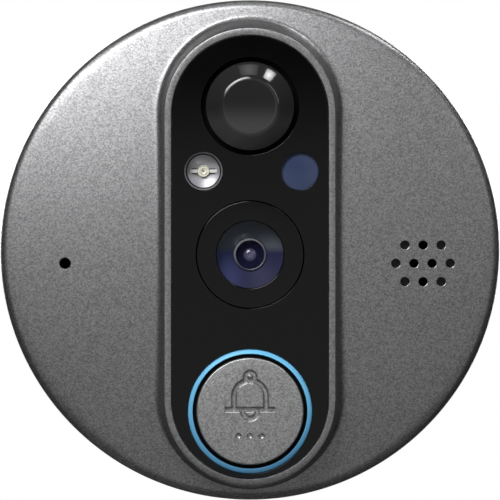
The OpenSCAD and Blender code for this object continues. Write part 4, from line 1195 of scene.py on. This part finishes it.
def cap_profile(reach, top, bend):
    """A shallow round cap from its middle to its edge, as (radius, depth) points."""
    radii = [reach * k / DOME_POINTS for k in range(DOME_POINTS + 1)]
    return [(radius, top - bend + sqrt(bend**2 - radius**2)) for radius in radii]


inner_reach = glass_radius - GLASS_THICK / 2
outer_cap = cap_profile(glass_radius, glass_top, GLASS_DOME)
inner_cap = cap_profile(inner_reach, glass_top - GLASS_THICK, GLASS_DOME - GLASS_THICK)
glass_profile = outer_cap + [(glass_radius, glass_seat), (inner_reach, glass_seat)] + inner_cap[::-1]
turned("cover_glass", "lens_glass", "front_glass", glass_profile, [eye])

# %% [markdown]
# The funnel runs straight from the glass' edge down to the lens. Its tone turns greyer above and bluer at the
# left: a painted reflection of the room in the glass. The nose is a satin ring that is brightest at its upper
# left: a painted highlight, which two more fades give by making it paler upwards and darker to the right. Its
# pit is dark, and the small lens in it is a low dome.

# %% Make the funnel
FUNNEL_WALL = 0.3 * MM
FUNNEL_REFLECTION_ABOVE = (0.13, 0.15, 0.18)
FUNNEL_REFLECTION_LEFT = (0.075, 0.09, 0.235)
FUNNEL_FADE = 1.4 * MM
NOSE_RADIUS = 2.14 * MM

funnel_back = back("lens_baffle")
nose_gap = NOSE_RADIUS + GLASS_FIT
funnel_profile = [
    (glass_radius, glass_seat), (nose_gap, funnel_back + FUNNEL_WALL), (nose_gap, funnel_back),
    (funnel_radius, seat_back - FUNNEL_WALL), (funnel_radius, seat_back), (glass_radius, seat_back),
]
# Painted reflection: the funnel turns bluer to the left and greyer upwards
painted_light_fade("baffle_blue", FUNNEL_REFLECTION_LEFT, eye[0], -funnel_radius, axis="X")
painted_light_fade("baffle_blue", FUNNEL_REFLECTION_ABOVE, eye[1], FUNNEL_FADE)
turned("blue_funnel", "baffle_blue", "lens_baffle", funnel_profile, [eye], closed=True)

# %% Make the lens nose and its lens
PIT_RADIUS = 1.84 * MM
PIT_DEPTH = 0.7 * MM
BARREL_STEP = 1.7 * MM
LIP_SOFT = 0.14 * MM
LIP_SEGMENTS = 4
NOSE_HIGHLIGHT_ABOVE = (0.62, 0.65, 0.7)
NOSE_SHADE_RIGHT = (0.1, 0.1, 0.13)
NOSE_FADE = 3.4 * MM
BEAD_HEIGHT = 0.5
BEAD_STEPS = 64

nose_top, barrel_back = front("lens_barrel"), back("lens_barrel")
barrel_radius = half_width("lens_barrel")
pit_floor, step_top = nose_top - PIT_DEPTH, nose_top - BARREL_STEP
nose_profile = [
    (0, pit_floor), (PIT_RADIUS, pit_floor), (PIT_RADIUS, nose_top), (NOSE_RADIUS, nose_top),
    (NOSE_RADIUS, step_top), (barrel_radius, step_top), (barrel_radius, barrel_back), (0, barrel_back),
]
# Painted highlight and shade: the nose is paler upwards and darker to the right
painted_light_fade("nose_satin", NOSE_HIGHLIGHT_ABOVE, eye[1] - NOSE_FADE / 2, NOSE_FADE)
painted_light_fade("nose_satin", NOSE_SHADE_RIGHT, eye[0] - PIT_RADIUS / 2, NOSE_FADE, axis="X")
lens_nose = turned(
    "lens_nose", "nose_satin", "lens_barrel", nose_profile, [eye],
    soft=LIP_SOFT, segments=LIP_SEGMENTS, wanted=in_front_of(nose_top),
)
finish_behind(lens_nose, "pit_navy", nose_top - LIP_SOFT)

bead_radius = half_width("inner_lens")
bead_dome = dome_profile(bead_radius, front("inner_lens") + PIECE_GAP, bead_radius * BEAD_HEIGHT)
bead_profile = bead_dome + [(0, bead_dome[-1][1])]
turned("coated_bead", "coated_purple", "inner_lens", bead_profile, [eye], steps=BEAD_STEPS)

# %% [markdown]
# The call button is a painted cap in a blue light ring. It is hollow, with a post in its middle that
# presses on the switch, and only its front edge is rounded. It rides on its own body, because it moves.

# %% Make the button
CAP_SOFT = 0.2 * MM
CAP_SEGMENTS = 5
CAP_WALL = 1.3 * MM
CAP_FLANGE = 0.55 * MM
CAP_FLANGE_THICK = 0.7 * MM
STEM_RADIUS = 1.5 * MM

cap_front, cap_back = front("call_button"), back("call_button")
cap_flange = half_width("call_button")
cap_radius = cap_flange - CAP_FLANGE
cap_inner, cap_ceiling = cap_radius - CAP_WALL, cap_front - CAP_WALL
flange_front = cap_back + CAP_FLANGE_THICK
stem_end = front("switch_plunger")
button_profile = [
    (0, cap_front), (cap_radius, cap_front), (cap_radius, flange_front), (cap_flange, flange_front),
    (cap_flange, cap_back), (cap_inner, cap_back), (cap_inner, cap_ceiling), (STEM_RADIUS, cap_ceiling),
    (STEM_RADIUS, stem_end), (0, stem_end),
]
button = turned(
    "button_cap", "button_paint", "call_button", button_profile, [push],
    soft=CAP_SOFT, segments=CAP_SEGMENTS, wanted=in_front_of(cap_front), body="call_button",
)

# %% [markdown]
# A bell is engraved in the cap, with three pips below it for the fingertip. A bump in the material would
# look flat from the side, so the lines are real grooves. A groove has a flat floor, steep walls and a
# flared mouth. That section is swept along each line of the bell, in the same way as the shell was swept
# along its spokes.

# %% Engrave the bell
# Half of the groove's section, as (distance from its middle, depth below the face)
GROOVE_HALF = ((0.5 * MM, -0.05 * MM), (0.31 * MM, 0.06 * MM), (0.18 * MM, 0.46 * MM))
GROOVE_SECTION = [(-across, down) for across, down in GROOVE_HALF] + list(GROOVE_HALF[::-1])
BELL_RADIUS = 2.08 * MM
BELL_FOOT = 0.22 * MM
BELL_SIDE = 1.72 * MM
BRIM_HALF = 3.3 * MM
KNOB_RADIUS = 0.58 * MM
KNOB_LIFT = 0.12 * MM
CLAPPER_RADIUS = 0.95 * MM
CLAPPER_DROP = 0.2 * MM
ARC_POINTS = 24


def arc(height, radius, first, last):
    """Points along an arc round a middle above the button's own, from one angle to another in degrees."""
    angles = [radians(first + (last - first) * k / ARC_POINTS) for k in range(ARC_POINTS + 1)]
    return [(radius * cos(angle), height + radius * sin(angle)) for angle in angles]


def engrave(points, closed=False):
    """Cuts a groove along a line of points, which are measured from the button's middle."""
    rails = [[] for _ in GROOVE_SECTION]
    count = len(points)
    for k, (x, z) in enumerate(points):
        before = points[(k - 1) % count] if closed or k else (x, z)
        after = points[(k + 1) % count] if closed or k < count - 1 else (x, z)
        along = Vector((after[0] - before[0], after[1] - before[1])).normalized()
        for rail, (across, down) in zip(rails, GROOVE_SECTION):
            rail.append(at(push[0] + x - along.y * across, push[1] + z + along.x * across, cap_front - down))
    groove = bmesh.new()
    sweep(groove, rails, closed)
    cut(button, groove)


shoulder = BELL_FOOT + BELL_SIDE
knob_height = shoulder + BELL_RADIUS + KNOB_RADIUS - KNOB_LIFT
engrave([(-BELL_RADIUS, BELL_FOOT)] + arc(shoulder, BELL_RADIUS, 180, 0) + [(BELL_RADIUS, BELL_FOOT)])
engrave([(-BRIM_HALF, BELL_FOOT), (BRIM_HALF, BELL_FOOT)])
engrave(arc(knob_height, KNOB_RADIUS, 0, 360)[:-1], closed=True)
engrave(arc(BELL_FOOT - CLAPPER_DROP, CLAPPER_RADIUS, 180, 360))

# %% Press the pips and soften the grooves
PIP_RADIUS = 0.42 * MM
PIP_DEPTH = 0.24 * MM
PIP_PITCH = 1.5 * MM
PIP_DROP = 3.2 * MM
PIP_POINTS = 6
GROOVE_SHARP = radians(22)
GROOVE_SOFT = 0.03 * MM
GROOVE_SEGMENTS = 2

pip_profile = dome_profile(PIP_RADIUS, cap_front - PIP_DEPTH, -PIP_DEPTH, PIP_POINTS)
pip_profile += [(PIP_RADIUS, cap_front + BEYOND), (0, cap_front + BEYOND)]
pips = bmesh.new()
for k in (-1, 0, 1):
    turn(pips, pip_profile, (push[0] + k * PIP_PITCH, push[1] - PIP_DROP), steps=DOT_STEPS)
cut(button, pips)
button.data.set_sharp_from_angle(angle=GROOVE_SHARP)
round_edges(button, GROOVE_SOFT, GROOVE_SEGMENTS)

# %% [markdown]
# The light ring is clear blue plastic, lit from behind by four small lamps. Only a little of its light shows
# by day, so it is mostly colour with a faint glow. Its front slopes back towards the outside, and it is
# brighter above than below: painted light on its upper part.

# %% Make the light ring
RING_SOFT = 0.14 * MM
RING_WIDTH = 0.64 * MM
RING_SLOPE = 0.32 * MM
RING_LIT_ABOVE = (0.21, 0.65, 1.0)

ring_inner, ring_flange = ring_radius - RING_WIDTH, half_width("light_ring")
ring_front, ring_back = front("light_ring"), back("light_ring")
halo_profile = [
    (ring_inner, ring_front), (ring_radius, ring_front - RING_SLOPE), (ring_radius, shelf_depth),
    (ring_flange, shelf_depth), (ring_flange, ring_back), (ring_inner, ring_back),
]
# Painted light: the ring turns brighter towards its top
painted_light_fade("ring_blue", RING_LIT_ABOVE, push[1] - ring_radius, 2 * ring_radius)
blue_ring = turned(
    "blue_ring", "ring_blue", "light_ring", halo_profile, [push], closed=True, soft=RING_SOFT
)
even_out(blue_ring)

# %% [markdown]
# The back of the unit is what the installer sees: a black cover with a spigot that goes into the door's
# peephole bore, a slot for the cable, and seats for four screws and two brass sleeves. The round forms are
# turned in one go, and the openings are cut afterwards. Four tubes on its inside stand round the screws.

# %% Make the rear cover
COVER_FRONT = 3.0 * MM
COVER_RECESS = 0.5 * MM
RECESS_PLAY = 0.2 * MM
COVER_SOFT = 0.2 * MM
PAD_INNER = 11.5 * MM
SPIGOT_RADIUS = 7.3 * MM
SLOT_WIDE = 9.4 * MM
SLOT_HIGH = 5.0 * MM
SLEEVE_RADIUS = 1.98 * MM
COLLAR_RADIUS = 2.35 * MM
SCREW_HEAD = 1.8 * MM
SCREW_SHANK = 1.0 * MM
SEAT_PLAY = 0.2 * MM
SEAT_WALL = 1.0 * MM

cover_radius, cover_back = half_width("rear_cover"), skirt_end
spigot_end, spacer_front = back("rear_cover"), front("rear_cover")
pad_outer = half_width("door_pad")
recess_outer, recess_inner = pad_outer + RECESS_PLAY, PAD_INNER - RECESS_PLAY
recess_depth = cover_back + COVER_RECESS
cover_profile = [
    (0, COVER_FRONT), (cover_radius, COVER_FRONT), (cover_radius, cover_back), (recess_outer, cover_back),
    (recess_outer, recess_depth), (recess_inner, recess_depth), (recess_inner, cover_back),
    (SPIGOT_RADIUS, cover_back), (SPIGOT_RADIUS, spigot_end), (0, spigot_end),
]
cover = turned("back_cover", "black_plastic", "rear_cover", cover_profile, [(0, 0)], soft=COVER_SOFT)

screw_reach = half_width("cover_screws") - SCREW_HEAD
screw_spots = [(x * screw_reach, z * screw_reach) for x in (-1, 1) for z in (-1, 1)]
sleeve_low, sleeve_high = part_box("clamp_sleeves")
sleeve_reach = (sleeve_high.z - sleeve_low.z) / 2 - COLLAR_RADIUS
sleeve_spots = [(0, -sleeve_reach), (0, sleeve_reach)]
slot_length = COVER_FRONT - spigot_end + 2 * BEYOND
cable_slot = bmesh.new()
bar(cable_slot, (0, 0), COVER_FRONT + BEYOND, (SLOT_WIDE, SLOT_HIGH, slot_length))
cut(cover, cable_slot)
sleeve_bores = [(SLEEVE_RADIUS, spot) for spot in sleeve_spots]
bore(cover, sleeve_bores, spigot_end - BEYOND, COVER_FRONT + BEYOND)
screw_seats = [(SCREW_HEAD + SEAT_PLAY, spot) for spot in screw_spots]
bore(cover, screw_seats, cover_back - BEYOND, COVER_FRONT - SEAT_WALL)

spacer_bore = SCREW_SHANK + SEAT_PLAY
spacer_profile = tube_profile(spacer_bore, spacer_bore + SCREW_SHANK, COVER_FRONT, spacer_front)
turned(
    "cover_spacers", "black_plastic", "rear_cover", spacer_profile, screw_spots, closed=True, steps=BORE_STEPS
)

# %% [markdown]
# The screws have rounded heads with a cross, which is cut one bar at a time. The thread in the sleeves
# could be a helix, but in such a narrow bore plain rings look the same, and they come from the profile
# alone.

# %% Make the screws and the sleeves
HEAD_THICK = 1.2 * MM
HEAD_SOFT = 0.3 * MM
HEAD_SEGMENTS = 4
CROSS_LONG = 2.1 * MM
CROSS_WIDE = 0.45 * MM
CROSS_DEEP = 0.6 * MM
CORE_RADIUS = 1.25 * MM
THREAD_DEPTH = 0.2 * MM
THREAD_PITCH = 0.5 * MM
SLEEVE_PLAY = 0.06 * MM

head_face, screw_end = back("cover_screws"), front("cover_screws")
head_top = head_face + HEAD_THICK
screw_profile = [
    (0, head_face), (SCREW_HEAD, head_face), (SCREW_HEAD, head_top), (SCREW_SHANK, head_top),
    (SCREW_SHANK, screw_end), (0, screw_end),
]
screws = turned(
    "back_screws", "steel", "cover_screws", screw_profile, screw_spots, steps=BORE_STEPS,
    soft=HEAD_SOFT, segments=HEAD_SEGMENTS, wanted=behind(head_face),
)
for size in ((CROSS_LONG, CROSS_WIDE), (CROSS_WIDE, CROSS_LONG)):
    cross_bars = bmesh.new()
    for spot in screw_spots:
        bar(cross_bars, spot, head_face + CROSS_DEEP, (*size, 2 * CROSS_DEEP))
    cut(screws, cross_bars)

sleeve_back, sleeve_front = back("clamp_sleeves"), front("clamp_sleeves")
crest_radius = CORE_RADIUS + THREAD_DEPTH
sleeve_outer = SLEEVE_RADIUS - SLEEVE_PLAY
thread = [(crest_radius, sleeve_back)]
for k in range(int((sleeve_front - sleeve_back) / THREAD_PITCH)):
    thread.append((CORE_RADIUS, sleeve_back + (k + 0.5) * THREAD_PITCH))
    thread.append((crest_radius, sleeve_back + (k + 1) * THREAD_PITCH))
sleeve_profile = thread[:-1] + [
    (CORE_RADIUS, sleeve_front), (COLLAR_RADIUS, sleeve_front), (COLLAR_RADIUS, COVER_FRONT),
    (sleeve_outer, COVER_FRONT), (sleeve_outer, sleeve_back),
]
turned(
    "brass_sleeves", "brass", "clamp_sleeves", sleeve_profile, sleeve_spots, closed=True, steps=BORE_STEPS
)

# %% [markdown]
# A ring of firm foam lies between the unit and the door. It is the only soft piece: a padded ring with well
# rounded edges, whose grain is coarser than that of the plastics.

# %% Make the foam ring
PAD_SOFT = 0.3 * MM

foam_profile = tube_profile(PAD_INNER, pad_outer, back("door_pad"), front("door_pad"))
foam_ring = turned(
    "foam_ring", "black_rubber", "door_pad", foam_profile, [(0, 0)], closed=True, soft=PAD_SOFT
)

# %% [markdown]
# The pieces inside the unit can hardly be seen from outside, so their measured shapes are good enough, and
# they only need their finishes. Three of them show as dark spots in a gap or a hole, and get the deepest
# black: partly their own dark colour, partly painted shade for the gap and the holes.

# %% Finish the measured pieces
# Their own dark colour, deepened as painted shade
DARK_AND_SHADED = ("button_bush", "microphone_boot", "microphone")

slots = {part["node"]: part["material_slot"] for part in frame["record"]["subparts"]}
for node, measured in frame["nodes"].items():
    measured.data.materials.clear()
    measured.data.materials.append(finishes["deep_black" if node in DARK_AND_SHADED else slots[node]])
print(len(slots), "measured pieces have a finish")
